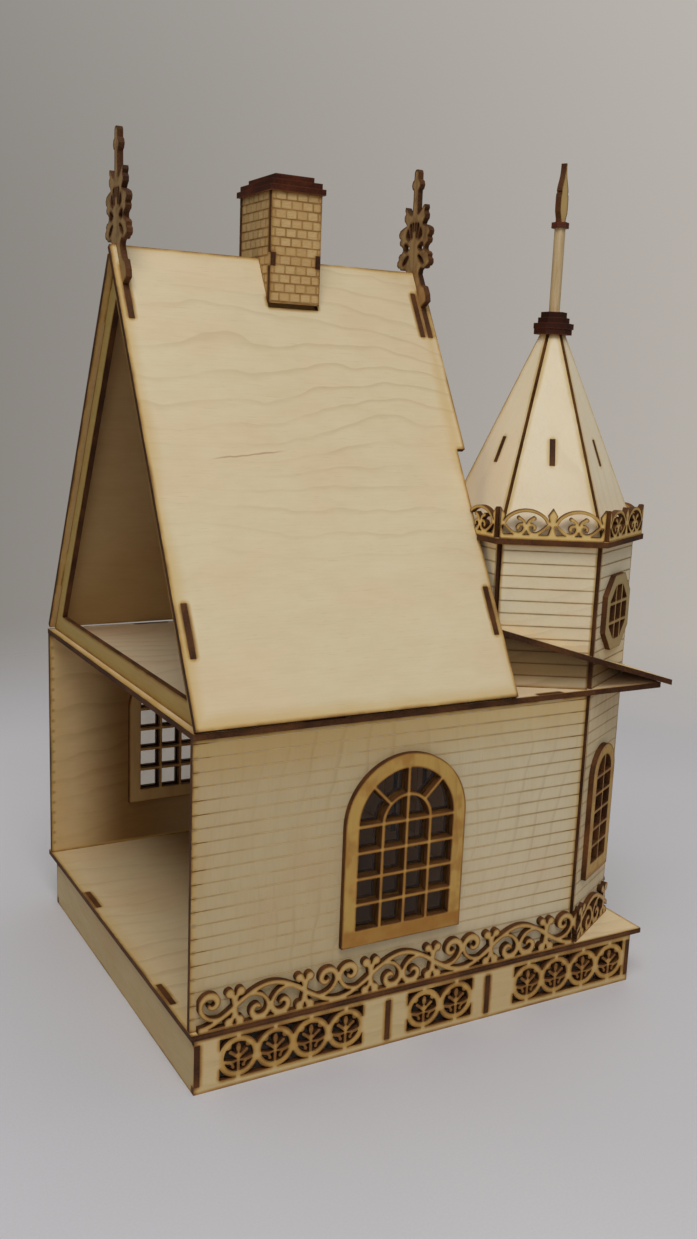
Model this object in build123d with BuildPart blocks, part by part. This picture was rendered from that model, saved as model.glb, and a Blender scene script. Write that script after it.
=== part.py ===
from build123d import *
import os
from math import cos, sin, radians, pi, sqrt, hypot

os.makedirs("parts", exist_ok=True)

# Wooden dollhouse cut from thin birch sheet: a rosette plinth, one tall
# ground-floor room that is open at one end, a steep attic, and a hexagonal
# corner tower that rises beside the front gable. Millimetres, +Z up.
# House coordinates: X runs from the open end to the porch end, Y from the
# near long wall to the far one. The origin is moved to the middle of the
# footprint at the end by the planes below.

# ---------------------------------------------------------------- dimensions
T = 3.2                                    # sheet thickness
FIT = 0.05                                 # play left beside a tab in a slot
BASE_L, BASE_W = 300.0, 271.0              # base floor
PLINTH_H = 30.8
ZF = PLINTH_H + T                          # top of the base floor
ZA = 189.1                                 # underside of the attic floor
ZAT = ZA + T                               # top of the attic floor
YC = BASE_W / 2                            # house centre line
PENT_X = 307.0                             # outer edge of the pent roof

PX0, PX1 = 1.8, 292.3                      # plinth length
PY0, PY1 = 0.6, 257.7                      # plinth depth
RIB_X = (116.7, 184.2)                     # plinth cross ribs

WALL_X0, WALL_X1 = 0.2, 244.3              # long walls
WALL_N, WALL_F = 3.4, 267.6                # outer faces of the long walls
SIDING = 7.29                              # clapboard pitch
GROOVE_W, GROOVE_D = 0.40, 0.20            # scored clapboard line

NEAR_WIN_X, FAR_WIN_X = 123.0, 92.6        # long-wall windows
WIN_SPRING, WIN_BOTTOM = 131.6, 72.8
WIN_R, WIN_BORDER, BAR = 29.6, 8.2, 1.9

AX0, AX1, AY0, AY1 = 0.2, 300.4, 2.5, 268.5          # attic floor

RIDGE_Z = 429.74
EAVE_Y, EAVE_Z = 1.2, 193.9                # outer lower edge of the near roof
ROOF_X0, ROOF_X1, ROOF_X2 = 0.85, 193.0, 198.6
ROOF_STEP = 152.0                          # height of the step up the slope
GF_X, GW_X, FN_X = 4.6, 187.0, 192.4       # gable frame, gable wall, finial

CH_X0, CH_X1, CH_Y0, CH_Y1 = 88.5, 120.0, 118.6, 162.8
CH_TOP, CH_NEAR_BOTTOM = 465.2, 404.4
COURSE, BRICK, MORTAR = 5.0, 6.7, 0.6      # engraved brickwork of the chimney
BRICK_TOP, MORTAR_D = 460.5, 0.25

TX, TY, TW = 245.83, 61.13, 54.44          # tower axis and panel width
T_TOP = 276.0                              # top of the tower walls
T_SIDING = 7.25
COR_R = 63.6                               # tower cornice
RAIL_A = 51.4                              # inside of the tower railing
PYR_R, PYR_Z0, PYR_APEX, PYR_Z1 = 55.4, T_TOP + T, 403.2, 393.2

DOOR_Y0, DOOR_Y1, DOOR_H = 172.0, 212.0, 88.0
DOOR_PIN_R, DOOR_BORE_R = 0.75, 0.80

OX = PENT_X / 2                            # footprint centre; the cornice's corner
OY = (BASE_W + TY - COR_R) / 2             # stands a little outside the base
TAI = TW * sqrt(3) / 2                     # inner apothem of the tower walls
TAO = TAI + T                              # outer apothem

ROOF_L = hypot(YC - EAVE_Y, RIDGE_Z - EAVE_Z)
SY, SZ = (YC - EAVE_Y) / ROOF_L, (RIDGE_Z - EAVE_Z) / ROOF_L   # up the slope


# -------------------------------------------------------------------- planes
def deck(z):
    """Horizontal sheet, its underside at z."""
    return Plane(origin=(-OX, -OY, z), x_dir=(1, 0, 0), z_dir=(0, 0, 1))


def long_side(y):
    """Upright sheet along X, drawn in X and Z; extrude goes towards -Y."""
    return Plane(origin=(-OX, y - OY, 0), x_dir=(1, 0, 0), z_dir=(0, -1, 0))


def cross(x):
    """Upright sheet across the house, drawn in Y and Z; extrude goes to +X."""
    return Plane(origin=(x - OX, -OY, 0), x_dir=(0, 1, 0), z_dir=(1, 0, 0))


def tower_face(phi, a):
    """Upright sheet on the tower side that looks along phi; extrude goes out."""
    c, s = cos(radians(phi)), sin(radians(phi))
    return Plane(origin=(TX - OX + a * c, TY - OY + a * s, 0),
                 x_dir=(-s, c, 0), z_dir=(c, s, 0))


def roof_point(s, n, far=False):
    """(Y, Z) at distance s up the slope from the eave and n outside it."""
    y = EAVE_Y + s * SY - n * SZ
    z = EAVE_Z + s * SZ + n * SY
    return (2 * YC - y, z) if far else (y, z)


def roof_plane():
    """Outer face of the near roof panel, drawn in X and up the slope."""
    return Plane(origin=(-OX, EAVE_Y - OY, EAVE_Z),
                 x_dir=(1, 0, 0), z_dir=(0, -SZ, SY))


def box2(x0, y0, x1, y1):
    """Corner points of an upright rectangle."""
    return [(x0, y0), (x1, y0), (x1, y1), (x0, y1)]


def refine(rows, parts):
    """Points on a smooth curve through the given rows, parts to each span."""
    fine, last = [], len(rows) - 1
    for i in range(last):
        a, b, c, d = (rows[max(i - 1, 0)], rows[i], rows[i + 1], rows[min(i + 2, last)])
        for k in range(parts):
            t = k / parts
            fine.append(tuple(
                0.5 * (2 * q + (r - p) * t + (2 * p - 5 * q + 4 * r - u) * t * t
                       + (3 * q - p - 3 * r + u) * t ** 3)
                for p, q, r, u in zip(a, b, c, d)))
    return fine + [rows[-1]]


def band(points, widths, parts=2):
    """Closed outline of a tapering curved band along the given points."""
    left, right = [], []
    rows = refine([(x, y, w) for (x, y), w in zip(points, widths)], parts)
    last = len(rows) - 1
    for i, (x, y, w) in enumerate(rows):
        ax, ay, _ = rows[max(i - 1, 0)]
        bx, by, _ = rows[min(i + 1, last)]
        d = hypot(bx - ax, by - ay)
        nx, ny = -(by - ay) / d, (bx - ax) / d
        left.append((x + nx * w / 2, y + ny * w / 2))
        right.append((x - nx * w / 2, y - ny * w / 2))
    with BuildSketch() as strip:
        with BuildLine():
            Spline(*left)
            Line(left[-1], right[-1])
            Spline(*right[::-1])
            Line(right[0], left[0])
        make_face()
    return strip.sketch


def finish(builder, name):
    """Name a finished piece and write it."""
    builder.part.label = name
    export_step(builder.part, "parts/" + name + ".step")


# ------------------------------------------------------------- fretwork motifs
# Rosette of the plinth: a ring with a tulip on a stem inside it.
RING_R, RING_IN = 11.6, 8.35
with BuildSketch() as rosette:
    Circle(RING_R)
    Circle(RING_IN, mode=Mode.SUBTRACT)
    with Locations((-5.7, 6.3), (5.7, 6.3)):
        Circle(1.7)
    with Locations((0, -4.6)):
        Rectangle(1.6, 8.4)
    with Locations((0, 4.9)):
        Ellipse(1.25, 2.6)
    Polygon((0, -1.8), (1.7, 0.5), (0, 2.9), (-1.7, 0.5), align=None)
    for side in (-1, 1):
        add(band([(0, -0.8), (side * 1.7, 0.6), (side * 3.2, 1.9), (side * 4.6, 3.0)],
                 [2.0, 1.6, 1.6, 1.5]))
        add(band([(0, -2.1), (side * 2.4, -2.6), (side * 5.0, -2.7), (side * 8.8, -1.6)],
                 [1.1, 1.2, 1.7, 1.6]))
        add(band([(side * 4.8, -2.8), (side * 3.6, -4.1), (side * 3.0, -5.5)], [1.4, 1.3, 1.5]))
        with Locations((side * 4.6, 3.0), (side * 3.0, -5.6)):
            Circle(0.9)

# Running scroll of the wall trim: arches with two curls under each, and the
# same turned over between them.
SCROLL_P, SCROLL_H = 40.2, 21.8


def curl(side, turned):
    """One curl with its ring, bulb and eye; centre line at u = 0."""
    def at(u, v):
        u *= side
        return (-u, SCROLL_H - v) if turned else (u, v)
    path = [(19.6, 11.4), (17.2, 13.6), (14.2, 15.2), (11.0, 15.9), (7.6, 15.5), (4.6, 14.1),
            (2.4, 11.7), (1.05, 8.6), (1.4, 5.2), (3.3, 2.9), (6.0, 2.05), (8.8, 2.9),
            (10.4, 5.3), (10.0, 7.9), (8.0, 9.1), (6.3, 8.5), (5.7, 7.3)]
    wide = [2.0, 2.0, 2.1, 2.1, 2.2, 2.3, 2.4, 2.6, 3.0, 3.5, 3.8, 3.7, 3.4, 3.0, 2.7, 2.2, 1.6]
    with BuildSketch() as one:
        add(band([at(u, v) for u, v in path], wide))
        with Locations(at(5.75, 7.4)):
            Circle(0.85)
    return one.sketch


def lobes(turned):
    """Pair of leaf lobes beside the crossing at u = SCROLL_P / 2."""
    def at(u, v):
        return (SCROLL_P - u, SCROLL_H - v) if turned else (u, v)
    with BuildSketch() as pair:
        add(band([at(20.2, 11.0), at(20.7, 14.0), at(21.2, 16.6), at(22.3, 18.7)],
                 [2.3, 2.3, 2.5, 3.0]))
        add(band([at(20.0, 11.6), at(19.6, 14.4), at(19.0, 16.8), at(17.8, 18.9)],
                 [2.3, 2.2, 2.4, 2.8]))
        with Locations(at(23.0, 18.7)):
            Circle(2.6)
        with Locations(at(16.8, 19.0)):
            Circle(2.5)
    return pair.sketch


curls = {(s, t): curl(s, t) for s in (-1, 1) for t in (False, True)}
lobe_sets = [lobes(False), lobes(True)]
lobe_mirror = [mirror(piece, about=Plane.YZ) for piece in lobe_sets]


def scroll(x0, x1, centre, span):
    """Running scroll between x0 and x1, an arch centred at centre."""
    with BuildSketch() as run:
        n = int(2 * span * SCROLL_P / 4.02) + 1
        pts = [(centre - span * SCROLL_P + i * 4.02, 0) for i in range(n)]
        wave = [(x, SCROLL_H / 2 + 8.9 * cos(pi * (x - centre) / SCROLL_P))
                for x, _ in pts]
        add(band(wave, [2.6] * n, 1))
        for k in range(-span, span + 1):
            turned = k % 2 != 0
            with Locations((centre + k * SCROLL_P, 0)):
                add(curls[(-1, turned)])
                add(curls[(1, turned)])
        for k in range(-span, span):
            # crossings fall half a pitch after each motif
            group = lobe_sets if k % 2 == 0 else lobe_mirror
            shift = centre + k * SCROLL_P + (0 if k % 2 == 0 else SCROLL_P)
            with Locations((shift, 0)):
                add(group[0])
                add(group[1])
        with Locations(((x0 + x1) / 2, 0.7)):
            Rectangle(x1 - x0, 1.4)
        with Locations(((x0 + x1) / 2, SCROLL_H / 2)):
            Rectangle(x1 - x0, SCROLL_H, mode=Mode.INTERSECT)
    return run.sketch


# Tower railing: two arched motifs with a spear between them.
RAIL_W = RAIL_A * 2 / sqrt(3)
with BuildSketch() as railing:
    with Locations((0, 1.3)):
        Rectangle(RAIL_W - 0.1, 2.6)
    for m in (-1, 1):
        mc = m * RAIL_W / 4
        arch = []
        for i in range(9):
            a = radians(162 - i * 18)
            arch.append((mc + 13.4 * cos(a), 5.4 + 10.9 * sin(a)))
        add(band(arch, [1.8] * 9))
        for s in (-1, 1):
            # a stem from the arch's foot that runs low, rises at the centre and hooks
            add(band([(mc + s * 13.3, 9.3), (mc + s * 10.4, 6.2), (mc + s * 7.2, 3.7),
                      (mc + s * 4.0, 2.9), (mc + s * 1.5, 4.3), (mc + s * 0.7, 7.0)],
                     [1.4, 1.5, 1.7, 1.9, 1.8, 1.7]))
            add(band([(mc + s * 0.7, 6.6), (mc + s * 2.0, 8.3), (mc + s * 4.0, 8.1),
                      (mc + s * 4.9, 6.7), (mc + s * 4.1, 5.4)],
                     [1.5, 1.5, 1.5, 1.7, 2.1]))
            add(band([(mc + s * 0.6, 7.4), (mc + s * 1.3, 9.6), (mc + s * 2.5, 11.0),
                      (mc + s * 4.2, 11.9)], [1.8, 1.7, 1.7, 1.6]))
            with Locations((mc + s * 4.3, 11.9)):
                Circle(1.15)
        with Locations((mc, 6.6)):
            Rectangle(1.5, 3.0)
    for sx in (-RAIL_W / 2, 0, RAIL_W / 2):
        Polygon((sx - 2.3, 2.4), (sx + 2.3, 2.4), (sx + 0.8, 7.2), (sx - 0.8, 7.2),
                align=None)
        Polygon((sx, 17.8), (sx + 2.7, 13.6), (sx + 1.3, 9.2), (sx - 1.3, 9.2),
                (sx - 2.7, 13.6), align=None)
        with Locations((sx, 9.0)):
            Circle(2.0)
    with Locations((0, 9)):
        Rectangle(RAIL_W - 0.1, 20, mode=Mode.INTERSECT)


# Window sashes: a border with thin glazing bars, one sheet.
def arched_outline(r, spring, bottom):
    with BuildSketch() as shape:
        with BuildLine():
            Line((-r, spring), (-r, bottom))
            Line((-r, bottom), (r, bottom))
            Line((r, bottom), (r, spring))
            ThreePointArc((r, spring), (0, spring + r), (-r, spring))
        make_face()
    return shape.sketch


def octagon_outline(w, h, c):
    with BuildSketch() as shape:
        Polygon((-w / 2, -h / 2 + c), (-w / 2 + c, -h / 2), (w / 2 - c, -h / 2),
                (w / 2, -h / 2 + c), (w / 2, h / 2 - c), (w / 2 - c, h / 2),
                (-w / 2 + c, h / 2), (-w / 2, h / 2 - c), align=None)
    return shape.sketch


wide_sash_outer = arched_outline(WIN_R + WIN_BORDER, WIN_SPRING, WIN_BOTTOM - 9.2)
wide_sash_hole = arched_outline(WIN_R, WIN_SPRING, WIN_BOTTOM)
wide_wall_hole = arched_outline(WIN_R + 2.6, WIN_SPRING, WIN_BOTTOM - 2.6)
wide_pane = arched_outline(WIN_R + 2.5, WIN_SPRING, WIN_BOTTOM - 2.5)

with BuildSketch() as wide_sash:
    add(wide_sash_outer)
    add(wide_sash_hole, mode=Mode.SUBTRACT)
    column, rows = WIN_R / 2, (WIN_SPRING - WIN_BOTTOM) / 4
    for i in (-1, 1):
        with Locations((i * column, (WIN_SPRING + WIN_BOTTOM) / 2)):
            Rectangle(BAR, WIN_SPRING - WIN_BOTTOM + 1)
    with Locations((0, (WIN_SPRING + WIN_R + WIN_BOTTOM) / 2)):
        Rectangle(BAR, WIN_SPRING + WIN_R - WIN_BOTTOM + 1)
    for i in range(1, 5):
        with Locations((0, WIN_BOTTOM + i * rows)):
            Rectangle(2 * WIN_R + 1, BAR)
    with BuildLine():
        CenterArc((0, WIN_SPRING), column, 0, 180)
    trace(line_width=BAR)
    for a in (45, 135):
        with Locations(Location((1.5 * column * cos(radians(a)),
                                 WIN_SPRING + 1.5 * column * sin(radians(a))), a)):
            Rectangle(column + 1, BAR)

BAY_R, BAY_SPRING, BAY_BOTTOM, BAY_BORDER = 12.0, 134.6, 79.6, 6.6
bay_sash_outer = arched_outline(BAY_R + BAY_BORDER, BAY_SPRING, BAY_BOTTOM - 8.8)
bay_wall_hole = arched_outline(BAY_R + 2.2, BAY_SPRING, BAY_BOTTOM - 2.2)
bay_pane = arched_outline(BAY_R + 2.1, BAY_SPRING, BAY_BOTTOM - 2.1)
with BuildSketch() as bay_sash:
    add(bay_sash_outer)
    add(arched_outline(BAY_R, BAY_SPRING, BAY_BOTTOM), mode=Mode.SUBTRACT)
    with Locations((0, (BAY_SPRING + BAY_R + BAY_BOTTOM) / 2)):
        Rectangle(1.7, BAY_SPRING + BAY_R - BAY_BOTTOM + 1)
    for i in range(1, 6):
        with Locations((0, BAY_BOTTOM + i * (BAY_SPRING - BAY_BOTTOM) / 5)):
            Rectangle(2 * BAY_R + 1, 1.8)

OCT_Z = 235.4
with BuildSketch() as oct_sash:
    add(octagon_outline(40.0, 44.5, 11.5))
    add(octagon_outline(29.0, 32.0, 8.8), mode=Mode.SUBTRACT)
    with Locations((-5.0, 0), (5.0, 0)):
        Rectangle(1.7, 33)
    with Locations((0, -5.7), (0, 5.7)):
        Rectangle(30, 1.8)
oct_hole = octagon_outline(33.0, 36.0, 9.8)
oct_pane = octagon_outline(32.8, 35.8, 9.7)

# ---------------------------------------------------------------------- plinth
GROUPS = ((16.0, 100.6, 4), (129.6, 173.2, 2), (203.2, 286.6, 4))


def plinth_side():
    with BuildSketch() as side:
        Polygon(*box2(PX0, 0, PX1, PLINTH_H), align=None)
        for x0, x1, n in GROUPS:
            with Locations(((x0 + x1) / 2, 16.2)):
                Rectangle(x1 - x0, 2 * RING_R - 0.1, mode=Mode.SUBTRACT)
        for x0, x1, n in GROUPS:
            step = (x1 - x0) / n
            with Locations(*[(x0 + step * (i + 0.5), 16.2) for i in range(n)]):
                add(rosette.sketch)
        # open corner notches and the two rib mortises
        Polygon(*box2(PX0 - 1, 4.1, PX0 + T + FIT, 27.6), align=None, mode=Mode.SUBTRACT)
        Polygon(*box2(PX1 - T - FIT, 4.1, PX1 + 1, 27.6), align=None, mode=Mode.SUBTRACT)
        for x in RIB_X:
            with Locations((x, 14.8)):
                Rectangle(T + 2 * FIT, 23.8, mode=Mode.SUBTRACT)
    return side.sketch


plinth_sketch = plinth_side()

with BuildPart() as plinth_near:
    with BuildSketch(long_side(PY0 + T)):
        add(plinth_sketch)
    extrude(amount=T)
finish(plinth_near, "plinth_near_panel")

with BuildPart() as plinth_far:
    with BuildSketch(long_side(PY1)):
        add(plinth_sketch)
    extrude(amount=T)
finish(plinth_far, "plinth_far_panel")

FLOOR_TABS = ((34.5, 58.0), (166.0, 191.0))
with BuildPart() as plinth_open_end:
    with BuildSketch(cross(PX0)):
        Polygon(*box2(PY0 + T, 0, PY1 - T, PLINTH_H), align=None)
        Polygon(*box2(PY0, 4.15, PY1, 27.55), align=None)
        for a, b in FLOOR_TABS:
            Polygon(*box2(a, PLINTH_H - 1, b, ZF), align=None)
    extrude(amount=T)
finish(plinth_open_end, "plinth_open_end_panel")

with BuildPart() as plinth_porch_end:
    with BuildSketch(cross(PX1 - T)):
        Polygon(*box2(PY0 + T, 0, PY1 - T, PLINTH_H), align=None)
        Polygon(*box2(PY0, 4.15, PY1, 27.55), align=None)
    extrude(amount=T)
finish(plinth_porch_end, "plinth_porch_end_panel")

with BuildPart() as plinth_ribs:
    for x in RIB_X:
        with BuildSketch(cross(x - T / 2)):
            Polygon(*box2(PY0 + T, 0, PY1 - T, PLINTH_H), align=None)
            Polygon(*box2(PY0, 2.95, PY1, 26.65), align=None)
        extrude(amount=T)
finish(plinth_ribs, "plinth_cross_ribs")

with BuildPart() as base_floor:
    with BuildSketch(deck(PLINTH_H)):
        Polygon(*box2(0, 0, BASE_L, BASE_W), align=None)
        for a, b in FLOOR_TABS:
            Polygon(*box2(PX0 - FIT, a - FIT, PX0 + T + FIT, b + FIT), align=None,
                    mode=Mode.SUBTRACT)
        # socket of the door's hinge pin
        with Locations((TX - T / 2, DOOR_Y1 - 2.2)):
            Circle(DOOR_PIN_R + 0.02, mode=Mode.SUBTRACT)
    extrude(amount=T)
finish(base_floor, "base_floor")

# ---------------------------------------------------------------- ground floor
WALL_H = ZA - ZF
TOP_TABS = ((60.0, 84.0), (209.4, 226.4))   # wall tabs let into the attic floor


def long_wall(window_x):
    with BuildSketch() as wall:
        Polygon(*box2(WALL_X0, ZF, WALL_X1, ZA), align=None)
        for a, b in TOP_TABS:
            Polygon(*box2(a, ZA - 1, b, ZAT - 0.1), align=None)
        with Locations((window_x, 0)):
            add(wide_wall_hole, mode=Mode.SUBTRACT)
    return wall.sketch


SIDING_Z = [ZF + SIDING * k for k in range(1, 22)]
TOWER_Z = [ZAT + T_SIDING * k for k in range(1, 12)]

with BuildPart() as near_wall:
    with BuildSketch(long_side(WALL_N + T)):
        add(long_wall(NEAR_WIN_X))
    extrude(amount=T)
    with BuildSketch(long_side(WALL_N + GROOVE_D)):
        with Locations(*[((WALL_X0 + WALL_X1) / 2, z) for z in SIDING_Z]):
            Rectangle(WALL_X1 - WALL_X0 + 2, GROOVE_W)
    extrude(amount=GROOVE_D + 1, mode=Mode.SUBTRACT)
finish(near_wall, "near_wall")

with BuildPart() as far_wall:
    with BuildSketch(long_side(WALL_F)):
        add(long_wall(FAR_WIN_X))
    extrude(amount=T)
    with BuildSketch(long_side(WALL_F + 1)):
        with Locations(*[((WALL_X0 + WALL_X1) / 2, z) for z in SIDING_Z]):
            Rectangle(WALL_X1 - WALL_X0 + 2, GROOVE_W)
    extrude(amount=GROOVE_D + 1, mode=Mode.SUBTRACT)
finish(far_wall, "far_wall")

FRONT_Y0, FRONT_Y1 = TY + TW - 0.1, WALL_F - T
FX = TX - 0.03                              # outer face of the front wall
PIN_X, PIN_Y = TX - T / 2, DOOR_Y1 - 2.2    # axis of the door
with BuildPart() as front_wall:
    with BuildSketch(cross(TX - T - 0.03)):
        Polygon(*box2(FRONT_Y0, ZF, FRONT_Y1, ZA), align=None)
        Polygon(*box2(DOOR_Y0, ZF - 1, DOOR_Y1, ZF + DOOR_H), align=None,
                mode=Mode.SUBTRACT)
    extrude(amount=T)
    with BuildSketch(cross(TX - 0.03 - GROOVE_D)):
        with Locations(*[((FRONT_Y0 + FRONT_Y1) / 2, z) for z in SIDING_Z]):
            Rectangle(FRONT_Y1 - FRONT_Y0 + 2, GROOVE_W)
    extrude(amount=GROOVE_D + 1, mode=Mode.SUBTRACT)
    # the door's hinge pin reaches up into the lintel
    with BuildSketch(deck(ZF + DOOR_H)):
        with Locations((PIN_X, PIN_Y)):
            Circle(DOOR_PIN_R + 0.02)
    extrude(amount=4.2, mode=Mode.SUBTRACT)
finish(front_wall, "front_wall")

# Three sides of the tower reach down to the base floor as a bay.
BAY = ((300, "bay_near_panel"), (0, "bay_front_panel"), (60, "bay_far_panel"))
for phi, name in BAY:
    with BuildPart() as bay_panel:
        with BuildSketch(tower_face(phi, TAI)):
            Polygon(*box2(-TW / 2, ZF, TW / 2, ZA), align=None)
            add(bay_wall_hole, mode=Mode.SUBTRACT)
        extrude(amount=T)
        with BuildSketch(tower_face(phi, TAO - GROOVE_D)):
            with Locations(*[(0, z) for z in SIDING_Z]):
                Rectangle(TW + 2, GROOVE_W)
        extrude(amount=GROOVE_D + 1, mode=Mode.SUBTRACT)
    finish(bay_panel, name)

# Corner post behind the joint between the near wall and the bay.
with BuildPart() as bay_post:
    with BuildSketch(deck(ZF)):
        Polygon((238.0, WALL_N + T), (245.6, WALL_N + T + 0.06), (250.4, 9.45),
                (248.4, 12.9), (238.0, 12.0), align=None)
    extrude(amount=WALL_H)
finish(bay_post, "bay_corner_post")

# ------------------------------------------------------------ ground windows
for where, win_x, y_out, y_pane, y_in in (
        ("near", NEAR_WIN_X, WALL_N, WALL_N + 1.0, WALL_N + 2 * T),
        ("far", FAR_WIN_X, WALL_F + T, WALL_F, WALL_F - T)):
    with BuildPart() as outer_sash:
        with BuildSketch(long_side(y_out)):
            with Locations((win_x, 0)):
                add(wide_sash.sketch)
        extrude(amount=T)
    finish(outer_sash, where + "_window_outer_sash")
    with BuildPart() as pane:
        with BuildSketch(long_side(y_pane)):
            with Locations((win_x, 0)):
                add(wide_pane)
        extrude(amount=1.0)
    finish(pane, where + "_window_glazing")
    with BuildPart() as inner_sash:
        with BuildSketch(long_side(y_in)):
            with Locations((win_x, 0)):
                add(wide_sash.sketch)
        extrude(amount=T)
    finish(inner_sash, where + "_window_inner_sash")

with BuildPart() as bay_sashes:
    for phi, name in BAY:
        with BuildSketch(tower_face(phi, TAO)):
            add(bay_sash.sketch)
        extrude(amount=T)
finish(bay_sashes, "bay_window_sashes")

with BuildPart() as bay_panes:
    for phi, name in BAY:
        with BuildSketch(tower_face(phi, TAO - 1.0)):
            add(bay_pane)
        extrude(amount=1.0)
finish(bay_panes, "bay_window_glazing")

# ------------------------------------------------------------------ wall trims
TRIM_X0, TRIM_X1, TRIM_C = 3.8, 247.2, 124.4
long_scroll = scroll(TRIM_X0, TRIM_X1, TRIM_C, 3)
with BuildPart() as near_trim:
    with BuildSketch(long_side(WALL_N)):
        with Locations((0, ZF)):
            add(long_scroll)
    extrude(amount=T)
finish(near_trim, "near_wall_trim")

with BuildPart() as far_trim:
    with BuildSketch(long_side(WALL_F + T)):
        with Locations((0, ZF)):
            add(long_scroll)
    extrude(amount=T)
finish(far_trim, "far_wall_trim")

short_scroll = scroll(-TW / 2 + 0.2, TW / 2 - 0.2, 0, 1)
with BuildPart() as bay_trims:
    for phi, name in BAY:
        with BuildSketch(tower_face(phi, TAO)):
            with Locations((0, ZF)):
                add(short_scroll)
        extrude(amount=T)
finish(bay_trims, "bay_trims")

# ------------------------------------------------------------------ front door
with BuildPart() as door_casing:
    with BuildSketch(cross(FX)):
        Polygon(*box2(DOOR_Y0 - 7, ZF, DOOR_Y1 + 7, ZF + DOOR_H + 8), align=None)
        Polygon(*box2(DOOR_Y0 - 0.3, ZF - 1, DOOR_Y1 + 0.3, ZF + DOOR_H + 0.3), align=None,
                mode=Mode.SUBTRACT)
    extrude(amount=T)
finish(door_casing, "door_casing")

with BuildPart() as door_stop:
    with BuildSketch(cross(FX - 2 * T)):
        Polygon(*box2(DOOR_Y0 - 6, ZF, DOOR_Y1 + 6, ZF + DOOR_H + 7), align=None)
        Polygon(*box2(DOOR_Y0 + 1.6, ZF - 1, DOOR_Y1 - 6.5, ZF + DOOR_H - 1.6), align=None,
                mode=Mode.SUBTRACT)
    extrude(amount=T)
finish(door_stop, "door_stop_frame")

LEAF_Z0, LEAF_Z1 = ZF + 0.5, ZF + DOOR_H - 0.5
with BuildPart() as door_leaf:
    with BuildSketch(deck(LEAF_Z0)):
        Polygon(*box2(PIN_X - 1.5, DOOR_Y0 + 0.5, PIN_X + 1.5, PIN_Y), align=None)
        with Locations((PIN_X, PIN_Y)):
            Circle(1.5)
            Circle(DOOR_BORE_R, mode=Mode.SUBTRACT)
    extrude(amount=LEAF_Z1 - LEAF_Z0)
    # four sunk panels on each face and a small round light above them
    with BuildSketch(cross(PIN_X + 1.5 - 0.5)):
        with Locations(*[(y, z) for y in (DOOR_Y0 + 10.5, DOOR_Y0 + 25.5)
                         for z in (ZF + 21.0, ZF + 52.0)]):
            RectangleRounded(11.0, 25.0, 0.6)
        with Locations((DOOR_Y0 + 18.0, ZF + 75.0)):
            SlotOverall(26.0, 10.0)
    extrude(amount=2, mode=Mode.SUBTRACT)
    with BuildSketch(cross(PIN_X - 1.5 + 0.5)):
        with Locations(*[(y, z) for y in (DOOR_Y0 + 10.5, DOOR_Y0 + 25.5)
                         for z in (ZF + 21.0, ZF + 52.0)]):
            RectangleRounded(11.0, 25.0, 0.6)
        with Locations((DOOR_Y0 + 18.0, ZF + 75.0)):
            SlotOverall(26.0, 10.0)
    extrude(amount=-2, mode=Mode.SUBTRACT)
finish(door_leaf, "door_leaf")

with BuildPart() as hinge_pin:
    with BuildSketch(deck(PLINTH_H + 0.4)):
        with Locations((PIN_X, PIN_Y)):
            Circle(DOOR_PIN_R)
    extrude(amount=ZF + DOOR_H + 4.0 - PLINTH_H - 0.4)
finish(hinge_pin, "door_hinge_pin")

with BuildPart() as door_knob:
    with BuildSketch(cross(PIN_X + 1.5)):
        with Locations((DOOR_Y0 + 3.6, ZF + 38.0)):
            Circle(1.3)
    extrude(amount=1.2)
    with Locations((PIN_X + 1.5 + 2.4 - OX, DOOR_Y0 + 3.6 - OY, ZF + 38.0)):
        Sphere(1.9)
finish(door_knob, "door_knob")

# ----------------------------------------------------------------------- attic
with BuildPart() as attic_floor:
    with BuildSketch(deck(ZA)):
        Polygon(*box2(AX0, AY0, AX1, AY1), align=None)
        for a, b in TOP_TABS:
            Polygon(*box2(a - FIT, WALL_N - FIT, b + FIT, WALL_N + T + FIT), align=None,
                    mode=Mode.SUBTRACT)
            Polygon(*box2(a - FIT, WALL_F - T - FIT, b + FIT, WALL_F + FIT), align=None,
                    mode=Mode.SUBTRACT)
    extrude(amount=T)
finish(attic_floor, "attic_floor")

LOW_TAB, HIGH_TAB = (36.6, 65.6), (226.4, 246.8)
WALL_HIGH_TAB = (226.4, 256.4)
HOOK = (247.3, 258.9)
GAP = 0.04
APEX_IN = roof_point(0, -T - GAP)
apex_in_z = APEX_IN[1] + (YC - APEX_IN[0]) * SZ / SY
foot_in_y = APEX_IN[0] + (ZAT - APEX_IN[1]) * SY / SZ


def gable_outline(tabs):
    with BuildSketch() as gable:
        Polygon((foot_in_y, ZAT), (2 * YC - foot_in_y, ZAT), (YC, apex_in_z), align=None)
        for far in (False, True):
            for a, b in tabs:
                Polygon(roof_point(a, -T - 2, far), roof_point(b, -T - 2, far),
                        roof_point(b, -0.05, far), roof_point(a, -0.05, far), align=None)
    return gable.sketch


with BuildPart() as gable_frame:
    with BuildSketch(cross(GF_X)):
        add(gable_outline((LOW_TAB, HIGH_TAB)))
        rail, leg = 11.5, 11.0
        inner_shift = leg / SZ
        z0 = ZAT + rail
        y0 = foot_in_y + rail * SY / SZ + inner_shift
        Polygon((y0, z0), (2 * YC - y0, z0), (YC, z0 + (YC - y0) * SZ / SY), align=None,
                mode=Mode.SUBTRACT)
    extrude(amount=T)
finish(gable_frame, "gable_frame")

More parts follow.
